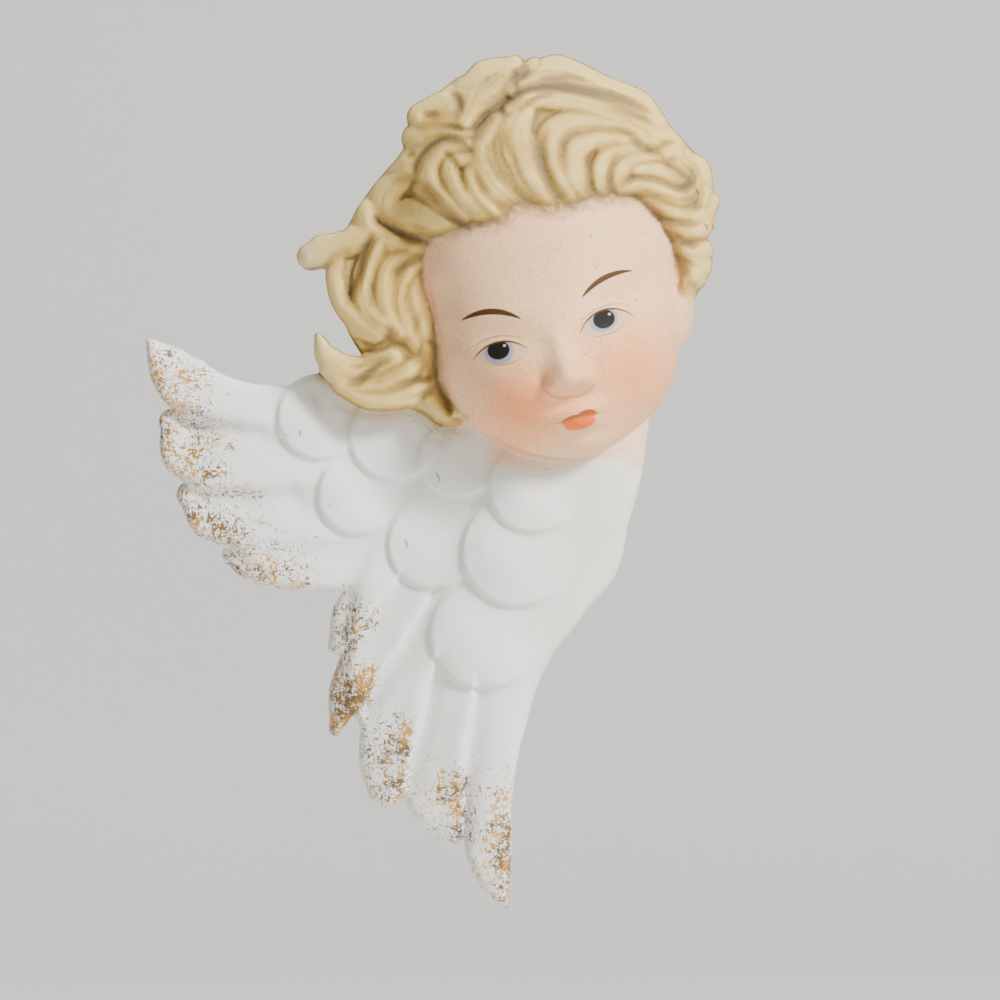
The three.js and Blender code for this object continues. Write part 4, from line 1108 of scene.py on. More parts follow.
@dataclass
class Net:
    """The surface of a field: one vertex in each cell that it passes through, and the faces between them."""

    spots: Array
    faces: Array

    @classmethod
    def over(cls, values: Array) -> "Net":
        """Lays the net over a field, below nought inside.

        Args:
            values: the field on a block of nodes.

        Returns:
            The net, with its vertices counted in nodes.
        """
        inside = values < 0
        full = np.zeros([n - 1 for n in values.shape], np.uint8)
        for j, k, i in CORNERS:
            full += inside[j:values.shape[0] - 1 + j, k:values.shape[1] - 1 + k, i:values.shape[2] - 1 + i]
        cells = np.argwhere((full > 0) & (full < 8))
        number = np.full(full.shape, -1, np.int32)
        number[tuple(cells.T)] = np.arange(len(cells))
        ends = np.stack([values[tuple((cells + corner).T)] for corner in CORNERS], axis=1).astype(float)
        total = np.zeros((len(cells), 3))
        count = np.zeros(len(cells))
        for a, b in EDGES:
            crossed = (ends[:, a] < 0) != (ends[:, b] < 0)
            share = np.where(crossed, ends[:, a] / np.where(crossed, ends[:, a] - ends[:, b], 1), 0)
            one, other = np.array(CORNERS[a]), np.array(CORNERS[b])
            total += np.where(crossed[:, None], one + share[:, None] * (other - one), 0)
            count += crossed
        spots = cells + total / count[:, None]
        return cls(spots, np.vstack([cls._across(inside, number, axis) for axis in range(3)]))

    @staticmethod
    def _across(inside: Array, number: Array, axis: int) -> Array:
        """Faces over the crossings along one axis, each round the four cells that share the crossing.

        Args:
            inside: whether each node is inside.
            number: each cell's vertex, or -1.
            axis: the axis.

        Returns:
            The faces' vertices, one row each.
        """
        along = [slice(None)] * 3
        along[axis] = slice(1, None)
        before = [slice(None)] * 3
        before[axis] = slice(None, -1)
        changed = inside[tuple(along)] != inside[tuple(before)]
        second, third = [n for n in range(3) if n != axis]
        at = np.argwhere(changed)
        at = at[(at[:, second] > 0) & (at[:, third] > 0)]
        at = at[(at[:, second] < number.shape[second]) & (at[:, third] < number.shape[third])]
        corners = []
        for back, down in ((1, 1), (0, 1), (0, 0), (1, 0)):
            cell = at.copy()
            cell[:, second] -= back
            cell[:, third] -= down
            corners.append(number[tuple(cell.T)])
        quads = np.stack(corners, axis=1)
        starts_inside = inside[tuple(at.T)]
        flip = starts_inside if axis == 1 else ~starts_inside
        quads[flip] = quads[flip][:, ::-1]
        return quads[(quads >= 0).all(axis=1)]

    def rims(self) -> list[list[int]]:
        """Closed lines along the open edges of the net, the longest first.

        Returns:
            The vertices along each line.
        """
        starts = self.faces.ravel()
        ends = np.roll(self.faces, -1, axis=1).ravel()
        width = len(self.spots)
        keys, back = starts.astype(np.int64) * width + ends, ends.astype(np.int64) * width + starts
        open_edge = ~np.isin(keys, back)
        following = dict(zip(starts[open_edge].tolist(), ends[open_edge].tolist()))
        loops = []
        while following:
            vertex = next(iter(following))
            loop = []
            while vertex in following:
                loop.append(vertex)
                vertex = following.pop(vertex)
            loops.append(loop)
        return sorted(loops, key=len, reverse=True)


def read_block(values: Array, spots: Array) -> Array:
    """Values of a block of nodes at places between them, counted in nodes.

    Args:
        values: the block.
        spots: the places.

    Returns:
        One value for each place.
    """
    low = np.minimum(spots.astype(int), np.array(values.shape) - 2)
    share = spots - low
    total = np.zeros(len(spots))
    for corner in CORNERS:
        weight = np.prod(np.where(corner, share, 1 - share), axis=1)
        total += weight * values[tuple((low + corner).T)]
    return total


def filled_pinches(values: Array) -> Array:
    """The field with the corner-to-corner contacts of its lowest layers filled, for a rim of one line.

    Args:
        values: the field, below nought inside.

    Returns:
        A filled copy of it.
    """
    values = values.copy()
    for _ in range(PINCH_ROUNDS):
        flat = values[1] < 0
        a, b, c, d = flat[:-1, :-1], flat[:-1, 1:], flat[1:, 1:], flat[1:, :-1]
        pinched = np.argwhere((a == c) & (b == d) & (a != b))
        if len(pinched) == 0:
            break
        for k, i in pinched:
            column = i + 1 if flat[k, i] else i
            values[:2, k, column] = np.minimum(values[:2, k, column], -JUST_INSIDE)
    return values


@dataclass
class Surface:
    """The casting's mesh with what is painted where."""

    casting: Casting = field(default_factory=Casting)
    owner_blend: float = 0.25
    lock_blend: float = 0.2
    most_paint: float = 3.0
    bleed_start: float = 0.25
    bleed_fall: float = 0.34
    bleed_most: float = 0.5
    lock_paint: float = 1.2
    lock_from: Point = (-0.6, 0.2)
    tail_fade: float = 1.5
    tail_edge: Point = (-1.5, 0.2)
    tail_up: Point = (8, 5)
    fine_width: float = 1.8
    broad_width: float = 5.0
    below_most: float = 3.0
    facing_to: Point = (0.3, 1.4)
    fine_share: float = 1.4
    broad_share: float = 0.42
    inner_edge: Point = (0.1, -1.2)
    cavity_most: float = 0.5
    rim_shade_share: float = 0.45
    rim_shade_edge: Point = (-2.4, 0)
    rim_shade_up: Point = (6, 12)
    rim_shade_least: float = 0.35
    wash_share: float = 0.6
    wing_wash: float = 0.1
    wash_most: float = 1.4
    gold_reach: float = 0.5
    gold_across: Point = (-0.4, 0.9)
    gold_run: float = 0.34
    gold_past: float = 0.3
    gold_own: float = 0.1
    gold_blur: float = 1.5

    def build(self) -> bpy.types.Object:
        """Makes the mesh object with its paint attributes.

        Returns:
            The mesh object.
        """
        grid, maps = self.casting.fill()
        log.info("field of %d nodes", grid.values.size)
        net = Net.over(filled_pinches(grid.values))
        sheet = grid.sheet
        x = sheet.left + net.spots[:, 2] * sheet.pitch
        z = sheet.bottom + net.spots[:, 1] * sheet.pitch
        d = grid.first + net.spots[:, 0] * grid.step
        spots = np.stack([x * UNIT, -d * DEPTH_UNIT, z * UNIT], axis=1)
        rims = net.rims()
        log.info("net of %d faces and %d rims", len(net.faces), len(rims))
        back = self._back(spots, rims)
        mesh = bpy.data.meshes.new("painted_bisque")
        mesh.from_pydata(spots.tolist(), [], net.faces.tolist() + back)
        mesh.polygons.foreach_set("use_smooth", [True] * len(net.faces) + [False] * len(back))
        for name, values in self._paint(grid, maps, net.spots, x, z, d).items():
            layer = mesh.attributes.new(name, "FLOAT", "POINT")
            layer.data.foreach_set("value", np.asarray(values, np.float32))
        plaque = bpy.data.objects.new("painted_bisque", mesh)
        bpy.context.scene.collection.objects.link(plaque)
        return plaque

    @staticmethod
    def _back(spots: Array, rims: list[list[int]]) -> list[list[int]]:
        """Flat faces against the wall, inside the outline and outside the nail's hole.

        Args:
            spots: the vertices.
            rims: the lines along the open edges.

        Returns:
            The faces' vertices.
        """
        order = [vertex for rim in rims for vertex in rim]
        outlines = [[Vector((spots[vertex][0], spots[vertex][2], 0)) for vertex in rim] for rim in rims]
        faces = []
        for corners in tessellate_polygon(outlines):
            face = [order[corner] for corner in corners]
            a, b, c = (spots[vertex] for vertex in face)
            turn = (b[0] - a[0]) * (c[2] - a[2]) - (b[2] - a[2]) * (c[0] - a[0])
            faces.append(face[::-1] if turn > 0 else face)
        return faces

    def _paint(self, grid: Grid, maps: dict[str, Array], nodes: Array, x: Array, z: Array,
               d: Array) -> dict[str, Array]:
        """What the painter laid where at each vertex, with the cavity and the rim that set the painted shade:
        the hair and its wash may also be below nought.

        Args:
            grid: the field.
            maps: the drawing's maps by name.
            nodes: the vertices counted in nodes.
            x: the vertices' places across, in units.
            z: the vertices' heights, in units.
            d: the vertices' depths, in units.

        Returns:
            The attributes by name.
        """
        sheet = grid.sheet
        from_line = sheet.read(maps["from_line"], x, z)
        head = ramp(-self.owner_blend, self.owner_blend, read_block(grid.skin, nodes))
        locks = ramp(-self.lock_blend, self.lock_blend, read_block(grid.lock, nodes))
        edge = sheet.read(maps["lock_edge"], x, z)
        on_head = np.clip(from_line, -self.most_paint, self.most_paint)
        on_wing = np.clip(self.bleed_start - self.bleed_fall * edge, -self.most_paint, self.bleed_most)
        hair = on_head * head + on_wing * (1 - head)
        hair = hair + self.lock_paint * head * locks * ramp(*self.lock_from, from_line)
        hair = hair - self.tail_fade * ramp(*self.tail_edge, edge) * ramp(*self.tail_up, z) * head * locks
        top = self._top(grid)
        # The cavity: how far each place lies below its blurred surroundings. In the hair it sets the wash run
        # into the hollows; on the wings it sets the painted shade in their hollows and creases.
        fine = sheet.read(blurred(top, self.fine_width) - top, x, z)
        broad = sheet.read(blurred(top, self.broad_width) - top, x, z)
        below = np.clip(sheet.read(top, x, z) - d, 0, self.below_most)
        facing = 1 - ramp(*self.facing_to, below)
        cavity = (self.fine_share * fine + self.broad_share * broad) * facing
        hollow = np.minimum(cavity, self.cavity_most) * ramp(*self.inner_edge, edge)
        # Painted shade: more brown along the outer rim of the hair's upper part, for the shade where it turns
        # away from the light. It rides in the wash attribute.
        away = self.rim_shade_share * ramp(*self.rim_shade_edge, edge) * ramp(*self.rim_shade_up, z)
        away = away * (self.rim_shade_least + (1 - self.rim_shade_least) * facing)
        ink = self.wash_share * sheet.read(maps["wash"], x, z) * facing
        wash = (ink + hollow + away) * head + self.wing_wash * (1 - head)
        return {
            "hair": hair,
            "head": head,
            "wash": np.clip(wash, -1, self.wash_most),
            "cavity": np.clip(cavity, 0, self.cavity_most),
            "comb": sheet.read(maps["comb"], x, z),
            "run": sheet.read(maps["run"], x, z),
            "gold": self._gold(sheet, x, z),
        }

    @staticmethod
    def _top(grid: Grid) -> Array:
        """Height of the form's front over the wall at each grid node.

        Args:
            grid: the field.

        Returns:
            The height in units, nought where there is nothing.
        """
        inside = grid.values < 0
        layers = np.arange(len(grid.values))[:, None, None]
        last = np.where(inside, layers, 0).max(axis=0)
        after = np.minimum(last + 1, len(grid.values) - 1)
        low = np.take_along_axis(grid.values, last[None], 0)[0]
        high = np.take_along_axis(grid.values, after[None], 0)[0]
        share = np.clip(low / np.where(low == high, 1, low - high), 0, 1)
        return np.where(inside.any(axis=0), grid.first + (last + share) * grid.step, 0)

    def _gold(self, sheet: Sheet, x: Array, z: Array) -> Array:
        """Density of the gold flecks on the feathers.

        Args:
            sheet: the drawing's grid.
            x: the vertices' places across, in units.
            z: their heights, in units.

        Returns:
            The density at each vertex.
        """
        density = np.zeros((len(sheet.zs), len(sheet.xs)))
        for feather, (start, strength, edge) in zip(self.casting.wings.feathers, GOLD):
            laid = feather.band.lay(sheet, reach=self.gold_reach)
            share = laid.place / (len(feather.band.spine) - 1)
            spread = (1 - edge) + edge * ramp(*self.gold_across, laid.across)
            amount = strength * ramp(start, start + self.gold_run, share) * spread
            amount = np.where(laid.edge < self.gold_past, amount, 0)
            most = np.maximum(density[laid.window], amount)
            density[laid.window] = np.where(laid.edge < self.gold_own, amount, most)
        return sheet.read(blurred(density, self.gold_blur), x, z)


# The gold left on each feather: where it starts as a share of the length, how strong it is, and how far it
# keeps to one edge.
GOLD = (
    (0.22, 0.95, 0.35),
    (0.2, 1.05, 0.4),
    (0.2, 1.0, 0.4),
    (0.12, 0.95, 0.35),
    (0.2, 1.25, 0.5),
    (0.36, 1.15, 0.55),
    (0.3, 1.05, 0.4),
    (0.36, 1.45, 0.3),
    (0.3, 0.95, 0.3),
)


@dataclass(frozen=True)
class Grain:
    """A cloudy noise: how fine it is, how many finer layers it has, how strong those are, and its twist."""

    scale: float
    detail: float
    rough: float
    twist: float = 0.0


class Value:
    """A number in the shader, with arithmetic that adds the nodes for it."""

    def __init__(self, shader: "Shader", socket: bpy.types.NodeSocket) -> None:
        """Wraps a socket of a shader."""
        self.shader = shader
        self.socket = socket

    def _math(self, operation: str, *others: "Value | float") -> "Value":
        """Result of a Math node on this value and others."""
        return self.shader.math(operation, self, *others)

    def __add__(self, other: "Value | float") -> "Value":
        """Sum."""
        return self._math("ADD", other)

    __radd__ = __add__

    def __mul__(self, other: "Value | float") -> "Value":
        """Product."""
        return self._math("MULTIPLY", other)

    __rmul__ = __mul__

    def __sub__(self, other: "Value | float") -> "Value":
        """Difference."""
        return self._math("SUBTRACT", other)

    def __rsub__(self, other: "Value | float") -> "Value":
        """Difference from another."""
        return self.shader.math("SUBTRACT", other, self)

    def __truediv__(self, other: "Value | float") -> "Value":
        """Quotient."""
        return self._math("DIVIDE", other)

    def __pow__(self, other: "Value | float") -> "Value":
        """Power."""
        return self._math("POWER", other)

    def __abs__(self) -> "Value":
        """Size without its sign."""
        return self._math("ABSOLUTE")

    def root(self) -> "Value":
        """Square root, nought below nought."""
        return self._math("MAXIMUM", 0.0)._math("SQRT")

    def at_least(self, other: "Value | float") -> "Value":
        """Greater of two values."""
        return self._math("MAXIMUM", other)

    def ramp(self, low: "Value | float", high: "Value | float") -> "Value":
        """Smooth step from nought at low to one at high.

        Args:
            low: where the step starts.
            high: where it ends.

        Returns:
            The step.
        """
        node = self.shader.node("ShaderNodeMapRange", {"interpolation_type": "SMOOTHSTEP"},
                                {"Value": self, "From Min": low, "From Max": high})
        return Value(self.shader, node.outputs["Result"])


class Tint:
    """A colour in the shader."""

    def __init__(self, shader: "Shader", socket: bpy.types.NodeSocket) -> None:
        """Wraps a colour socket of a shader."""
        self.shader = shader
        self.socket = socket

    def toward(self, other: "Tint | Colour", amount: Value | float) -> "Tint":
        """Colour mixed with another by an amount.

        Args:
            other: the other colour.
            amount: its share.

        Returns:
            The mixed colour.
        """
        node = self.shader.node("ShaderNodeMix", {"data_type": "RGBA", "clamp_factor": True},
                                {0: amount, 6: self, 7: other})
        return Tint(self.shader, node.outputs[2])


class Shader:
    """A material's nodes."""

    def __init__(self, name: str) -> None:
        """Makes an empty material of a name.

        Args:
            name: the material's name.
        """
        self.material = bpy.data.materials.new(name)
        self.material.use_nodes = True
        self.tree = self.material.node_tree
        self.tree.nodes.clear()

    def node(self, kind: str, settings: dict[str, object] | None = None,
             inputs: dict[str | int, object] | None = None) -> bpy.types.Node:
        """Adds a node.

        Args:
            kind: the node's type.
            settings: its properties by name.
            inputs: its sockets' values or what is linked to them, by name or number.

        Returns:
            The node.
        """
        made = self.tree.nodes.new(kind)
        for name, setting in (settings or {}).items():
            setattr(made, name, setting)
        for name, given in (inputs or {}).items():
            socket = made.inputs[name]
            if isinstance(given, (Value, Tint)):
                self.tree.links.new(given.socket, socket)
            elif isinstance(given, bpy.types.NodeSocket):
                self.tree.links.new(given, socket)
            else:
                socket.default_value = given
        return made

    def math(self, operation: str, *operands: Value | float) -> Value:
        """Result of a Math node."""
        made = self.node("ShaderNodeMath", {"operation": operation}, dict(enumerate(operands)))
        return Value(self, made.outputs[0])

    def attribute(self, name: str) -> Value:
        """Attribute of the mesh."""
        return Value(self, self.node("ShaderNodeAttribute", {"attribute_name": name}).outputs["Fac"])

    def place(self) -> bpy.types.NodeSocket:
        """Place on the object, in metres."""
        return self.node("ShaderNodeTexCoord").outputs["Object"]

    def noise(self, where: bpy.types.NodeSocket, grain: "Grain") -> Value:
        """Cloudy noise, about a half on the whole.

        Args:
            where: the place.
            grain: how fine and how rough it is.

        Returns:
            The noise.
        """
        made = self.node("ShaderNodeTexNoise", None,
                         {"Vector": where, "Scale": grain.scale, "Detail": grain.detail,
                          "Roughness": grain.rough, "Distortion": grain.twist})
        return Value(self, made.outputs["Fac"])

    def joined(self, across: Value, along: Value) -> bpy.types.NodeSocket:
        """Place made of two values."""
        return self.node("ShaderNodeCombineXYZ", None, {0: across, 1: along}).outputs[0]

    def stretched(self, where: bpy.types.NodeSocket, scale: tuple[float, float, float],
                  turn: float = 0.0) -> bpy.types.NodeSocket:
        """Place scaled along each axis, and turned about the axis to the viewer.

        Args:
            where: the place.
            scale: the factors.
            turn: the angle, in radians.

        Returns:
            The new place.
        """
        made = self.node("ShaderNodeMapping", None,
                         {"Vector": where, "Rotation": (0.0, turn, 0.0), "Scale": scale})
        return made.outputs["Vector"]

    def plain(self, colour: Colour) -> Tint:
        """One colour.

        Args:
            colour: the colour.

        Returns:
            The colour in the shader.
        """
        made = self.node("ShaderNodeRGB")
        made.outputs[0].default_value = colour
        return Tint(self, made.outputs[0])

    def finish(self, base: Tint, roughness: Value, metallic: Value | float, height: Value, bump: float,
               fixed: dict[str, object] | None = None) -> bpy.types.Material:
        """Closes the material with its shader.

        Args:
            base: the base colour.
            roughness: the roughness.
            metallic: how far it is metal.
            height: height of the fine grain.
            bump: depth of the grain, in metres.
            fixed: uniform values on the shader's other sockets.

        Returns:
            The material.
        """
        raised = self.node("ShaderNodeBump", None, {"Height": height, "Distance": bump, "Strength": 1.0})
        shaded = self.node("ShaderNodeBsdfPrincipled", None,
                           {"Base Color": base, "Roughness": roughness, "Metallic": metallic,
                            "Normal": raised.outputs["Normal"], **(fixed or {})})
        self.node("ShaderNodeOutputMaterial", None, {"Surface": shaded.outputs["BSDF"]})
        return self.material


def srgb(red: float, green: float, blue: float) -> Colour:
    """Colour given as it looks on a screen, from 0 to 255, for the shader.

    Args:
        red: red part.
        green: green part.
        blue: blue part.

    Returns:
        The colour, opaque.
    """
    def linear(part: float) -> float:
        """One part, freed of the screen's curve."""
        share = part / 255
        return share / 12.92 if share <= 0.04045 else ((share + 0.055) / 1.055) ** 2.4

    return linear(red), linear(green), linear(blue), 1.0


@dataclass(frozen=True)
class Stroke:
    """A thin painted line: an arc through three places, with its width and how far it tapers."""

    start: Point
    middle: Point
    end: Point
    width: float
    strength: float = 1.0
    taper: float = 0.5
    soft: float = 0.06

    def circle(self) -> tuple[float, float, float]:
        """Centre and radius of the circle through the three places.

        Returns:
            The centre's place across, its height, and the radius.
        """
        (ax, az), (bx, bz), (cx, cz) = self.start, self.middle, self.end
        twice = 2 * (ax * (bz - cz) + bx * (cz - az) + cx * (az - bz))
        a, b, c = ax * ax + az * az, bx * bx + bz * bz, cx * cx + cz * cz
        x = (a * (bz - cz) + b * (cz - az) + c * (az - bz)) / twice
        z = (a * (cx - bx) + b * (ax - cx) + c * (bx - ax)) / twice
        return x, z, math.hypot(ax - x, az - z)

    def cover(self, x: Value, z: Value) -> Value:
        """How far the line covers each place.

        Args:
            x: the place across, in units.
            z: its height, in units.

        Returns:
            The cover, from nought to one.
        """
        cx, cz, radius = self.circle()
        away = abs(((x - cx) * (x - cx) + (z - cz) * (z - cz)).root() - radius)
        run = (self.end[0] - self.start[0], self.end[1] - self.start[1])
        half = math.hypot(*run) / 2
        middle = ((self.start[0] + self.end[0]) / 2, (self.start[1] + self.end[1]) / 2)
        along = abs((x - middle[0]) * (run[0] / half / 2) + (z - middle[1]) * (run[1] / half / 2)) / half
        share = (1.0 - along * along).at_least(0.0) ** self.taper
        reach = 1.1 * max(math.dist(self.start, self.middle), math.dist(self.end, self.middle))
        dx, dz = x - self.middle[0], z - self.middle[1]
        near = 1.0 - (dx * dx + dz * dz).root().ramp(reach, reach * 1.1)
        width = share * (self.width / 2)
        line = 1.0 - away.ramp(width - self.soft, width + self.soft)
        return line * share.ramp(0.0, 0.25) * self.strength * near


@dataclass(frozen=True)
class Patch:
    """A soft round of paint: place, half sizes, turn, and how sharp its edge is."""

    at: Point
    size: Point
    turn: float = 0.0
    edge: float = 0.1

    def radius(self, x: Value, z: Value) -> Value:
        """Distance from the middle in half sizes.

        Args:
            x: the place across, in units.
            z: its height, in units.

        Returns:
            The distance, one at the edge.
        """
        cos, sin = math.cos(math.radians(self.turn)), math.sin(math.radians(self.turn))
        u = ((x - self.at[0]) * cos + (z - self.at[1]) * sin) / self.size[0]
        v = ((z - self.at[1]) * cos - (x - self.at[0]) * sin) / self.size[1]
        return (u * u + v * v).root()

    def cover(self, x: Value, z: Value) -> Value:
        """How far the paint covers each place."""
        return 1.0 - self.radius(x, z).ramp(1 - self.edge, 1 + self.edge)


@dataclass(frozen=True)
class Bisque:
    """The painted bisque: white feathers, flesh, washed hair, the face's lines and the worn gold, with
    painted shade in the hollows, at the hair's rim and crown, under the jaw and round the nose, and painted
    highlights in the eyes.
    """

    white: Colour = srgb(240, 241, 236)
    flesh: Colour = srgb(255, 208, 160)
    warm: Colour = srgb(250, 190, 138)
    blush: Colour = srgb(255, 138, 52)
    blond: Colour = srgb(196, 158, 78)
    pale: Colour = srgb(226, 196, 118)
    brown: Colour = srgb(140, 119, 78)
    deep: Colour = srgb(104, 86, 52)
    bare: Colour = srgb(222, 216, 198)
    brow: Colour = srgb(78, 48, 8)
    # Tan for the lid creases and the mouth line, and for the painted shade under the jaw and round the nose.
    tan: Colour = srgb(176, 120, 66)
    lip: Colour = srgb(248, 112, 20)
    upper_lip: Colour = srgb(176, 70, 8)
    pupil: Colour = srgb(16, 9, 3)
    iris: Colour = srgb(144, 152, 176)
    eye: Colour = srgb(228, 184, 146)
    gold: Colour = srgb(222, 164, 76)
    olive: Colour = srgb(124, 94, 50)
    # The grey of the painted shade in the wings' hollows and creases.
    hollow: Colour = srgb(196, 202, 204)
    warm_white: Colour = srgb(232, 226, 206)
    freckle: Colour = srgb(186, 140, 104)
    speck: Colour = srgb(150, 104, 66)
    left_cheek: Patch = Patch((2.2, 4.4), (3.6, 3.3), edge=1.0)
    right_cheek: Patch = Patch((13.0, 8.2), (4.4, 4.2), edge=1.0)
    lower_lip: Patch = Patch((8.0, 2.72), (1.6, 0.68), 14.0, 0.1)
    lip_corner: Patch = Patch((7.15, 3.05), (1.1, 0.36), 22.0, 0.14)
    lip_peak: Patch = Patch((8.75, 3.6), (0.95, 0.46), 10.0, 0.14)
    iris_size: Point = (1.52, 1.34)
    pupil_size: Point = (1.12, 0.96)
    glint_size: Point = (0.15, 0.13)
    clouding: Grain = Grain(260.0, 4.0, 0.6)
    grain: Grain = Grain(2600.0, 3.0, 0.6)
    ragged: Grain = Grain(360.0, 4.0, 0.6)
    strands: Grain = Grain(1.0, 3.0, 0.6)
    hair_mottle: Grain = Grain(420.0, 5.0, 0.65)
    hair_specks: Grain = Grain(2400.0, 2.0, 0.5)
    hair_clouding: Grain = Grain(95.0, 3.0, 0.5)
    skin_specks: Grain = Grain(3400.0, 2.0, 0.5)
    skin_clouding: Grain = Grain(120.0, 3.0, 0.5)
    skin_dots: Grain = Grain(1500.0, 1.0, 0.4)
    gold_slant: Grain = Grain(2500.0, 3.0, 0.65, 1.2)
    gold_slope: Grain = Grain(2300.0, 3.0, 0.65, 1.2)
    gold_patches: Grain = Grain(560.0, 2.0, 0.5)
    gold_darkening: Grain = Grain(330.0, 3.0, 0.6)
    aim_below: float = 5.0
    face_front: Point = (-9.0, -7.0)
    bare_back: Point = (-0.4, -1.1)
    grain_depth: float = 0.00003
    hole_inside: Point = (-8.0, -7.0)
    speck_front: Point = (-1.0, -2.0)
    hollow_shade_share: float = 0.55
    warm_white_cloud: Point = (0.45, 0.75)
    warm_white_patches: float = 0.35
    warm_white_across: Point = (-2.0, 12.0)
    warm_white_side: float = 0.4
    neck_share: float = 0.6
    comb_across: float = 3.4
    comb_along: float = 0.5
    ragged_share: float = 1.8
    strand_share: float = 1.6
    hair_edge: Point = (-0.7, 1.4)
    blond_wash: float = 1.4
    blond_mottle: float = 1.0
    blond_from: Point = (-0.15, 0.7)
    bare_lean: float = 0.16
    bare_from: Point = (2.9, 4.2)
    bare_share: float = 0.5
    mottle_break: float = 0.6
    speck_break: float = 0.75
    strand_break: float = 0.8
    cloud_break: float = 1.3
    wash_across: Point = (-12.0, 2.0)
    wash_right: float = 0.14
    crown_shade_and_wash_up: Point = (30.0, 38.0)
    crown_shade_and_wash: float = 0.3
    wash_less: float = 0.06
    brown_from: Point = (-0.1, 0.8)
    brown_most: float = 0.88
    deep_from: Point = (0.5, 1.25)
    deep_most: float = 0.55
    warm_cloud: Point = (0.35, 0.7)
    warm_most: float = 0.5
    left_rosy: float = 0.75
    right_rosy: float = 0.65
    blush_least: float = 0.72
    blush_speck: float = 0.5
    freckle_from: Point = (0.5, 0.66)
    freckle_most: float = 0.3
    dot_from: Point = (0.76, 0.79)
    dot_most: float = 0.6
    mouth_height: float = 1.3
    mouth_lean: float = 0.24
    mouth_blend: Point = (-0.12, 0.12)
    lip_least: float = 0.78
    lip_speck: float = 0.4
    eye_cover: float = 0.9
    eye_blur: float = 0.08
    glint_blur: float = 0.3
    gold_fine: float = 0.84
    gold_coarse: float = 0.16
    gold_edge: Point = (0.655, 0.67)
    gold_density: float = 0.14
    gold_start: Point = (0.02, 0.1)
    gold_dark: Point = (0.44, 0.56)
    gold_metal: float = 0.75
    bisque_rough: float = 0.62
    grain_rough: float = 0.12
    gold_smooth: float = 0.22
    grain_height: float = 0.7
    cloud_height: float = 0.3
    gold_height: float = 0.4
    strand_height: float = 3.0
    specular: float = 0.35
    refraction: float = 1.5
    # The face is painted a little larger than the drawing, because the nearer parts look larger in the photo.
    drawn: float = 1.02
    nail_hole: Patch = Patch((0.0, 0.020 / UNIT), (0.0032 / UNIT, 0.0032 / UNIT))

    def make(self) -> bpy.types.Material:
        """Makes the material.

        Returns:
            The material.
        """
        shader = Shader("painted bisque")
        place = shader.place()
        apart = shader.node("ShaderNodeSeparateXYZ", None, {0: place})
        x, y, z = (Value(shader, apart.outputs[n]) / UNIT for n in range(3))
        front = 1.0 - y.ramp(*self.face_front)
        hair, head = shader.attribute("hair"), shader.attribute("head")
        wash, cavity = shader.attribute("wash"), shader.attribute("cavity")
        cloud = shader.noise(place, self.clouding)
        grain = shader.noise(place, self.grain)
        # Painted shade: the white greyed in the wings' hollows and creases, by their cavity.
        feathers = shader.plain(self.white).toward(self.hollow, cavity * self.hollow_shade_share)
        # A warmer white, in cloudy patches and more towards the right.
        warm_white = cloud.ramp(*self.warm_white_cloud) * self.warm_white_patches + x.ramp(*self.warm_white_across) * self.warm_white_side
        feathers = feathers.toward(self.warm_white, warm_white)
        face_x, face_z = x * self.drawn, (z + self.aim_below) * self.drawn - self.aim_below
        face = self._face(shader, face_x, face_z, front, place)
        skin = feathers.toward(face, head.at_least(self._neck(x, z, y) * self.neck_share))
        ragged = shader.noise(place, self.ragged)
        along = shader.attribute("run") * self.comb_along
        comb = shader.joined(shader.attribute("comb") * self.comb_across, along)
        strand = shader.noise(comb, self.strands)
        frayed = hair + (ragged - 0.5) * self.ragged_share + (strand - 0.5) * self.strand_share
        haired = frayed.ramp(*self.hair_edge)
        base = skin.toward(self._hair(shader, place, x, z, wash, strand), haired)
        bored = self.nail_hole.cover(x, z) * y.ramp(*self.hole_inside)
        painted = y.ramp(*self.bare_back) * (1.0 - bored)
        base = feathers.toward(base, painted)
        flecks, dark = self._flecks(shader, place, head)
        flecks = flecks * painted
        base = base.toward(shader.plain(self.gold).toward(self.olive, dark), flecks)
        for speck in SPECKS:
            base = base.toward(self.deep, speck.cover(x, z) * y.ramp(*self.speck_front))
        metallic = flecks * (1.0 - dark) * self.gold_metal
        roughness = self.bisque_rough + grain * self.grain_rough - flecks * self.gold_smooth
        height = grain * self.grain_height + cloud * self.cloud_height + flecks * self.gold_height
        height = height + strand * haired * painted * self.strand_height
        fixed = {"Specular IOR Level": self.specular, "IOR": self.refraction}
        return shader.finish(base, roughness, metallic, height, self.grain_depth, fixed)

    def _neck(self, x: Value, z: Value, y: Value) -> Value:
        """Where the flesh colour goes down the neck under the chin."""
        edge = -1.5 - x.ramp(0.5, 4.5) * 0.65 + x.ramp(5.0, 10.0) * 1.15 - x.ramp(11.8, 13.4) * 0.95
        return (z - edge).ramp(-0.35, 0.35) * x.ramp(-2.5, 0.5) * y.ramp(-0.5, -2.0)

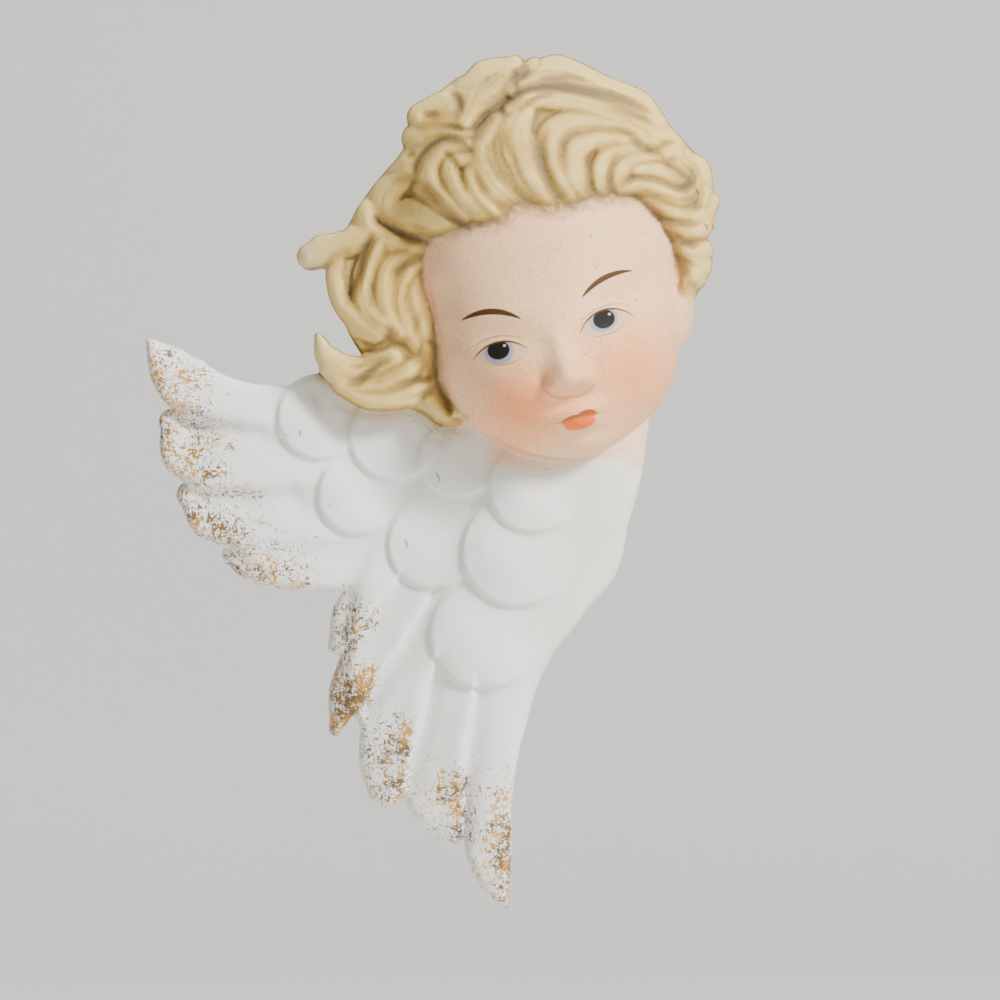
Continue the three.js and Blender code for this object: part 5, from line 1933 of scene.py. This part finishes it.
    def _hair(self, shader: Shader, place: bpy.types.NodeSocket, x: Value, z: Value, wash: Value,
              strand: Value) -> Tint:
        """The hair's blond ground with brown run into its grooves, bare bisque on the outermost curls, and
        painted shade darkening its rim and crown.

        Args:
            shader: the material's nodes.
            place: the place in metres.
            x: the place across, in units.
            z: its height, in units.
            wash: how much brown has run there, with the painted shade along the hair's rim.
            strand: noise along the strands.

        Returns:
            The hair's colour.
        """
        mottle = shader.noise(place, self.hair_mottle)
        speck = shader.noise(place, self.hair_specks)
        cloud = shader.noise(place, self.hair_clouding)
        blond = (wash * self.blond_wash + mottle * self.blond_mottle).ramp(*self.blond_from)
        ground = shader.plain(self.pale).toward(self.blond, blond)
        bared = (mottle - x * self.bare_lean).ramp(*self.bare_from)
        ground = ground.toward(self.bare, bared * self.bare_share)
        broken = (mottle - 0.5) * self.mottle_break + (speck - 0.5) * self.speck_break
        broken = broken + (strand - 0.5) * self.strand_break + (cloud - 0.5) * self.cloud_break
        amount = wash + broken + x.ramp(*self.wash_across) * self.wash_right
        # Painted shade with the wash: more brown over the crown.
        amount = amount + z.ramp(*self.crown_shade_and_wash_up) * self.crown_shade_and_wash - self.wash_less
        washed = ground.toward(self.brown, amount.ramp(*self.brown_from) * self.brown_most)
        return washed.toward(self.deep, amount.ramp(*self.deep_from) * self.deep_most)

    def _face(self, shader: Shader, x: Value, z: Value, front: Value, place: bpy.types.NodeSocket) -> Tint:
        """The painted face.

        Args:
            shader: the material's nodes.
            x: the place across, in units.
            z: its height, in units.
            front: one on the front of the head.
            place: the place in metres.

        Returns:
            The face's colour.
        """
        speck = shader.noise(place, self.skin_specks)
        cloud = shader.noise(place, self.skin_clouding)
        skin = shader.plain(self.flesh).toward(self.warm, cloud.ramp(*self.warm_cloud) * self.warm_most)
        rosy = self.left_cheek.cover(x, z) * self.left_rosy + self.right_cheek.cover(x, z) * self.right_rosy
        skin = skin.toward(self.blush, rosy * (self.blush_least + speck * self.blush_speck))
        skin = skin.toward(self.freckle, speck.ramp(*self.freckle_from) * self.freckle_most)
        dots = shader.noise(place, self.skin_dots)
        skin = skin.toward(self.speck, dots.ramp(*self.dot_from) * self.dot_most)
        for eye in (LEFT_EYE, RIGHT_EYE):
            skin = self._eye(skin, x, z, front, eye)
        lips = self._lips(x, z) * front
        upper = (z - self.mouth_height - x * self.mouth_lean).ramp(*self.mouth_blend)
        paint = shader.plain(self.lip).toward(self.upper_lip, upper)
        skin = skin.toward(paint, lips * (self.lip_least + speck * self.lip_speck))
        for stroke in BROWS:
            skin = skin.toward(self.brow, stroke.cover(x, z) * front)
        # The mouth line; the other strokes are painted shade under the jaw, and painted shade with dirt in
        # the creases round the nose.
        for stroke in LINES_AND_PAINTED_SHADE:
            skin = skin.toward(self.tan, stroke.cover(x, z) * front)
        return skin

    def _eye(self, skin: Tint, x: Value, z: Value, front: Value, eye: "Eye") -> Tint:
        """The skin with one eye painted on it.

        Args:
            skin: the skin's colour.
            x: the place across, in units.
            z: its height, in units.
            front: one on the front of the head.
            eye: the eye.

        Returns:
            The colour.
        """
        inside = eye.opening(x, z) * front
        skin = skin.toward(self.eye, inside * self.eye_cover)
        iris = Patch(eye.iris, self.iris_size, eye.turn, self.eye_blur).cover(x, z) * inside
        skin = skin.toward(self.iris, iris * self.eye_cover)
        pupil = Patch(eye.pupil, self.pupil_size, eye.turn, self.eye_blur).cover(x, z) * inside
        skin = skin.toward(self.pupil, pupil)
        # The glint is a painted highlight: a small round of the eye's pale colour by the pupil.
        spot = Patch(eye.glint, self.glint_size, 0.0, self.glint_blur).cover(x, z) * front
        skin = skin.toward(self.eye, spot)
        for stroke in eye.lids:
            skin = skin.toward(self.brow, stroke.cover(x, z) * front)
        for stroke in eye.creases:
            skin = skin.toward(self.tan, stroke.cover(x, z) * front)
        return skin

    def _lips(self, x: Value, z: Value) -> Value:
        """Where the lips are painted."""
        lower, corner, peak = (one.cover(x, z) for one in (self.lower_lip, self.lip_corner, self.lip_peak))
        return lower.at_least(corner).at_least(peak)

    def _flecks(self, shader: Shader, place: bpy.types.NodeSocket, head: Value) -> tuple[Value, Value]:
        """Where gold is left on the feathers, and how much of it has darkened.

        Args:
            shader: the material's nodes.
            place: the place in metres.
            head: one on the head.

        Returns:
            The cover of the gold, and how dark it is.
        """
        density = shader.attribute("gold") * (1.0 - head)
        slant = shader.stretched(place, (1.0, 1.0, 0.5), 0.7)
        slope = shader.stretched(place, (0.5, 1.0, 1.0), 0.5)
        fine = shader.noise(slant, self.gold_slant)
        other = shader.noise(slope, self.gold_slope)
        coarse = shader.noise(place, self.gold_patches)
        value = fine.at_least(other) * self.gold_fine + coarse * self.gold_coarse
        low, high = (edge - density * self.gold_density for edge in self.gold_edge)
        flecks = value.ramp(low, high) * density.ramp(*self.gold_start)
        dark = shader.noise(place, self.gold_darkening).ramp(*self.gold_dark)
        return flecks, dark


@dataclass(frozen=True)
class Eye:
    """A painted eye: its opening between two arcs, the iris, the painted highlight, and the lines round it.
    """

    upper: Stroke
    lower: Stroke
    iris: Point
    pupil: Point
    glint: Point
    turn: float
    lids: tuple[Stroke, ...]
    creases: tuple[Stroke, ...]

    def opening(self, x: Value, z: Value) -> Value:
        """How far a place is between the lids.

        Args:
            x: the place across, in units.
            z: its height, in units.

        Returns:
            The share, from nought to one.
        """
        cover: Value | None = None
        for arc in (self.upper, self.lower):
            cx, cz, radius = arc.circle()
            away = ((x - cx) * (x - cx) + (z - cz) * (z - cz)).root() - radius
            inside = 1.0 - away.ramp(-0.06, 0.06)
            cover = inside if cover is None else cover * inside
        return cover


LEFT_EYE = Eye(
    upper=Stroke((-2.7, 9), (0.2, 10.85), (2.9, 10), 0.3),
    lower=Stroke((-2.0, 9.15), (0.2, 8.5), (2.6, 9.6), 0.2),
    iris=(-0.1, 9.9), pupil=(-0.15, 10), glint=(0.45, 10.45), turn=8.0,
    lids=(Stroke((-2.7, 9), (-0.2, 10.8), (2.8, 10.1), 0.2, taper=0.5),),
    creases=(Stroke((-2.7, 10.3), (-0.2, 11.4), (2.3, 11.1), 0.14, 0.75),
             Stroke((-1.4, 8.65), (0.5, 8.55), (2.4, 9.3), 0.14, 0.7)),
)
RIGHT_EYE = Eye(
    upper=Stroke((7.9, 11.5), (10.2, 14), (13.4, 13.3), 0.3),
    lower=Stroke((8.2, 11.7), (10.4, 11.4), (13.0, 13.0), 0.2),
    iris=(10.3, 13.1), pupil=(10.4, 13.1), glint=(10.95, 13.6), turn=20.0,
    lids=(Stroke((8, 11.5), (9.6, 13.7), (13.5, 13.35), 0.2, taper=0.5),),
    creases=(Stroke((7.8, 12.4), (9.7, 14.1), (12.5, 14.65), 0.14, 0.75),
             Stroke((9, 11.4), (10.8, 11.55), (12.5, 12.7), 0.14, 0.7)),
)
BROWS = (
    Stroke((-4, 12.95), (-1.2, 13.85), (2.2, 13.05), 0.62, taper=0.8),
    Stroke((8.1, 15.1), (10.4, 17.2), (13.4, 18), 0.56, taper=0.8),
)
SPECKS = (
    Stroke((-6.4, -2.3), (-6.1, -2.7), (-6.0, -3.2), 0.22, 0.59),
    Stroke((-9.5, -8.9), (-9.3, -9.3), (-9.25, -9.8), 0.22, 0.68),
    Stroke((-19.7, 2.0), (-19.9, 1.7), (-19.9, 1.3), 0.22, 0.68),
    Stroke((-21.5, 1.8), (-21.3, 1.5), (-20.9, 1.4), 0.17, 0.51),
    Stroke((-17.2, -5.4), (-16.9, -5.6), (-16.5, -5.6), 0.15, 0.42),
    Stroke((19.3, 25.8), (19.5, 25.5), (19.6, 25.1), 0.26, 0.77),
    Stroke((19.0, 24.6), (19.2, 24.4), (19.5, 24.3), 0.21, 0.68),
    Stroke((20.2, 22.3), (20.4, 22.0), (20.5, 21.6), 0.22, 0.77),
    Stroke((20.9, 22.6), (21.0, 22.2), (21.0, 21.8), 0.20, 0.68),
)
# The mouth's parting line; painted shade along the jaw, under the chin; and dark creases round the nose at
# its left wing, underneath and at its right, partly dirt and partly painted shade.
LINES_AND_PAINTED_SHADE = (
    Stroke((5.4, 2.6), (7.9, 3.25), (10.6, 3.85), 0.16, 0.9),
    Stroke((-1.0, 1.6), (7.4, -0.95), (14.0, 1.0), 0.4, 0.3, taper=0.3),
    Stroke((4.6, 7.3), (4.3, 6.4), (4.9, 5.6), 0.4, 0.3),
    Stroke((4.7, 5.8), (6.1, 5.2), (7.4, 5.45), 0.32, 0.45),
    Stroke((7.2, 5.4), (8.7, 5.75), (9.5, 6.9), 0.26, 0.35),
)


@dataclass(frozen=True)
class Lamp:
    """A soft square light aimed at the plaque."""

    name: str
    at: tuple[float, float, float]
    size: float
    power: float


@dataclass(frozen=True)
class Studio:
    """The stage that the plaque is shown on: a pale sweep, soft lights and the camera."""

    floor: float = -0.10
    near: float = -1.6
    far: float = 1.3
    sweep: float = 0.4
    wall_top: float = 1.6
    width: float = 3.2
    distance: float = 1.2
    frame_width: float = 0.117
    aim: float = -5 * UNIT
    sweep_steps: int = 16
    sensor: float = 36.0
    daylight: float = 0.1
    paper: Colour = srgb(226, 225, 222)
    shaded_paper: Colour = srgb(216, 215, 212)
    paper_cloud: Grain = Grain(3.0, 2.0, 0.5)
    paper_grain: Grain = Grain(900.0, 2.0, 0.5)
    paper_depth: float = 0.00005
    lamps: tuple[Lamp, ...] = (
        Lamp("key", (0.7, -0.88, 0.68), 0.25, 34.0),
        Lamp("fill", (-0.5, -1.1, 0.0), 0.5, 2.0),
        Lamp("wall wash", (0.0, 0.35, 1.5), 1.2, 26.0),
    )

    def build(self) -> None:
        """Makes the stage, the lights and the camera."""
        self._sweep()
        for lamp in self.lamps:
            self._light(lamp)
        world = bpy.data.worlds.new("studio")
        world.use_nodes = True
        world.node_tree.nodes["Background"].inputs[0].default_value = (1.0, 1.0, 1.0, 1.0)
        world.node_tree.nodes["Background"].inputs[1].default_value = self.daylight
        bpy.context.scene.world = world
        self._camera()

    def _sweep(self) -> None:
        """Makes the floor that curves up behind."""
        profile = [(self.near, self.floor)]
        for n in range(self.sweep_steps + 1):
            angle = math.pi / 2 * n / self.sweep_steps
            profile.append((self.far - self.sweep + self.sweep * math.sin(angle),
                            self.floor + self.sweep * (1 - math.cos(angle))))
        profile.append((self.far, self.wall_top))
        half = self.width / 2
        spots = [(side * half, y, z) for y, z in profile for side in (-1, 1)]
        faces = [(n * 2, n * 2 + 1, n * 2 + 3, n * 2 + 2) for n in range(len(profile) - 1)]
        mesh = bpy.data.meshes.new("floor")
        mesh.from_pydata(spots, [], faces)
        mesh.polygons.foreach_set("use_smooth", [True] * len(faces))
        floor = bpy.data.objects.new("floor", mesh)
        bpy.context.scene.collection.objects.link(floor)
        floor.data.materials.append(self._paper())

    def _paper(self) -> bpy.types.Material:
        """Pale paper.

        Returns:
            The material.
        """
        shader = Shader("pale paper")
        place = shader.place()
        cloud = shader.noise(place, self.paper_cloud)
        grain = shader.noise(place, self.paper_grain)
        base = shader.plain(self.paper).toward(self.shaded_paper, cloud)
        return shader.finish(base, 0.8 + grain * 0.1, 0.0, grain, self.paper_depth)

    def _light(self, lamp: Lamp) -> None:
        """Makes one light.

        Args:
            lamp: its place, size and power.
        """
        data = bpy.data.lights.new(lamp.name, "AREA")
        data.size = lamp.size
        data.energy = lamp.power
        light = bpy.data.objects.new(lamp.name, data)
        light.location = lamp.at
        toward = Vector((0, 0, self.aim)) - Vector(lamp.at)
        light.rotation_euler = toward.to_track_quat("-Z", "Y").to_euler()
        bpy.context.scene.collection.objects.link(light)

    def _camera(self) -> None:
        """Makes the camera, square on to the plaque."""
        data = bpy.data.cameras.new("camera")
        data.sensor_width = self.sensor
        data.lens = self.sensor * self.distance / self.frame_width
        camera = bpy.data.objects.new("camera", data)
        camera.location = (0, -self.distance, self.aim)
        camera.rotation_euler = (math.pi / 2, 0, 0)
        bpy.context.scene.collection.objects.link(camera)
        bpy.context.scene.camera = camera


def main() -> None:
    """Builds the plaque and its stage."""
    logging.basicConfig(level=logging.INFO, format="%(name)s: %(message)s")
    plaque = Surface().build()
    plaque.data.materials.append(Bisque().make())
    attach(plaque, BODY)
    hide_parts(NODE)
    log.info("painted bisque casting, %d faces", len(plaque.data.polygons))
    Studio().build()
    log.info("stage, lights and camera")


if __name__ == "__main__":
    main()
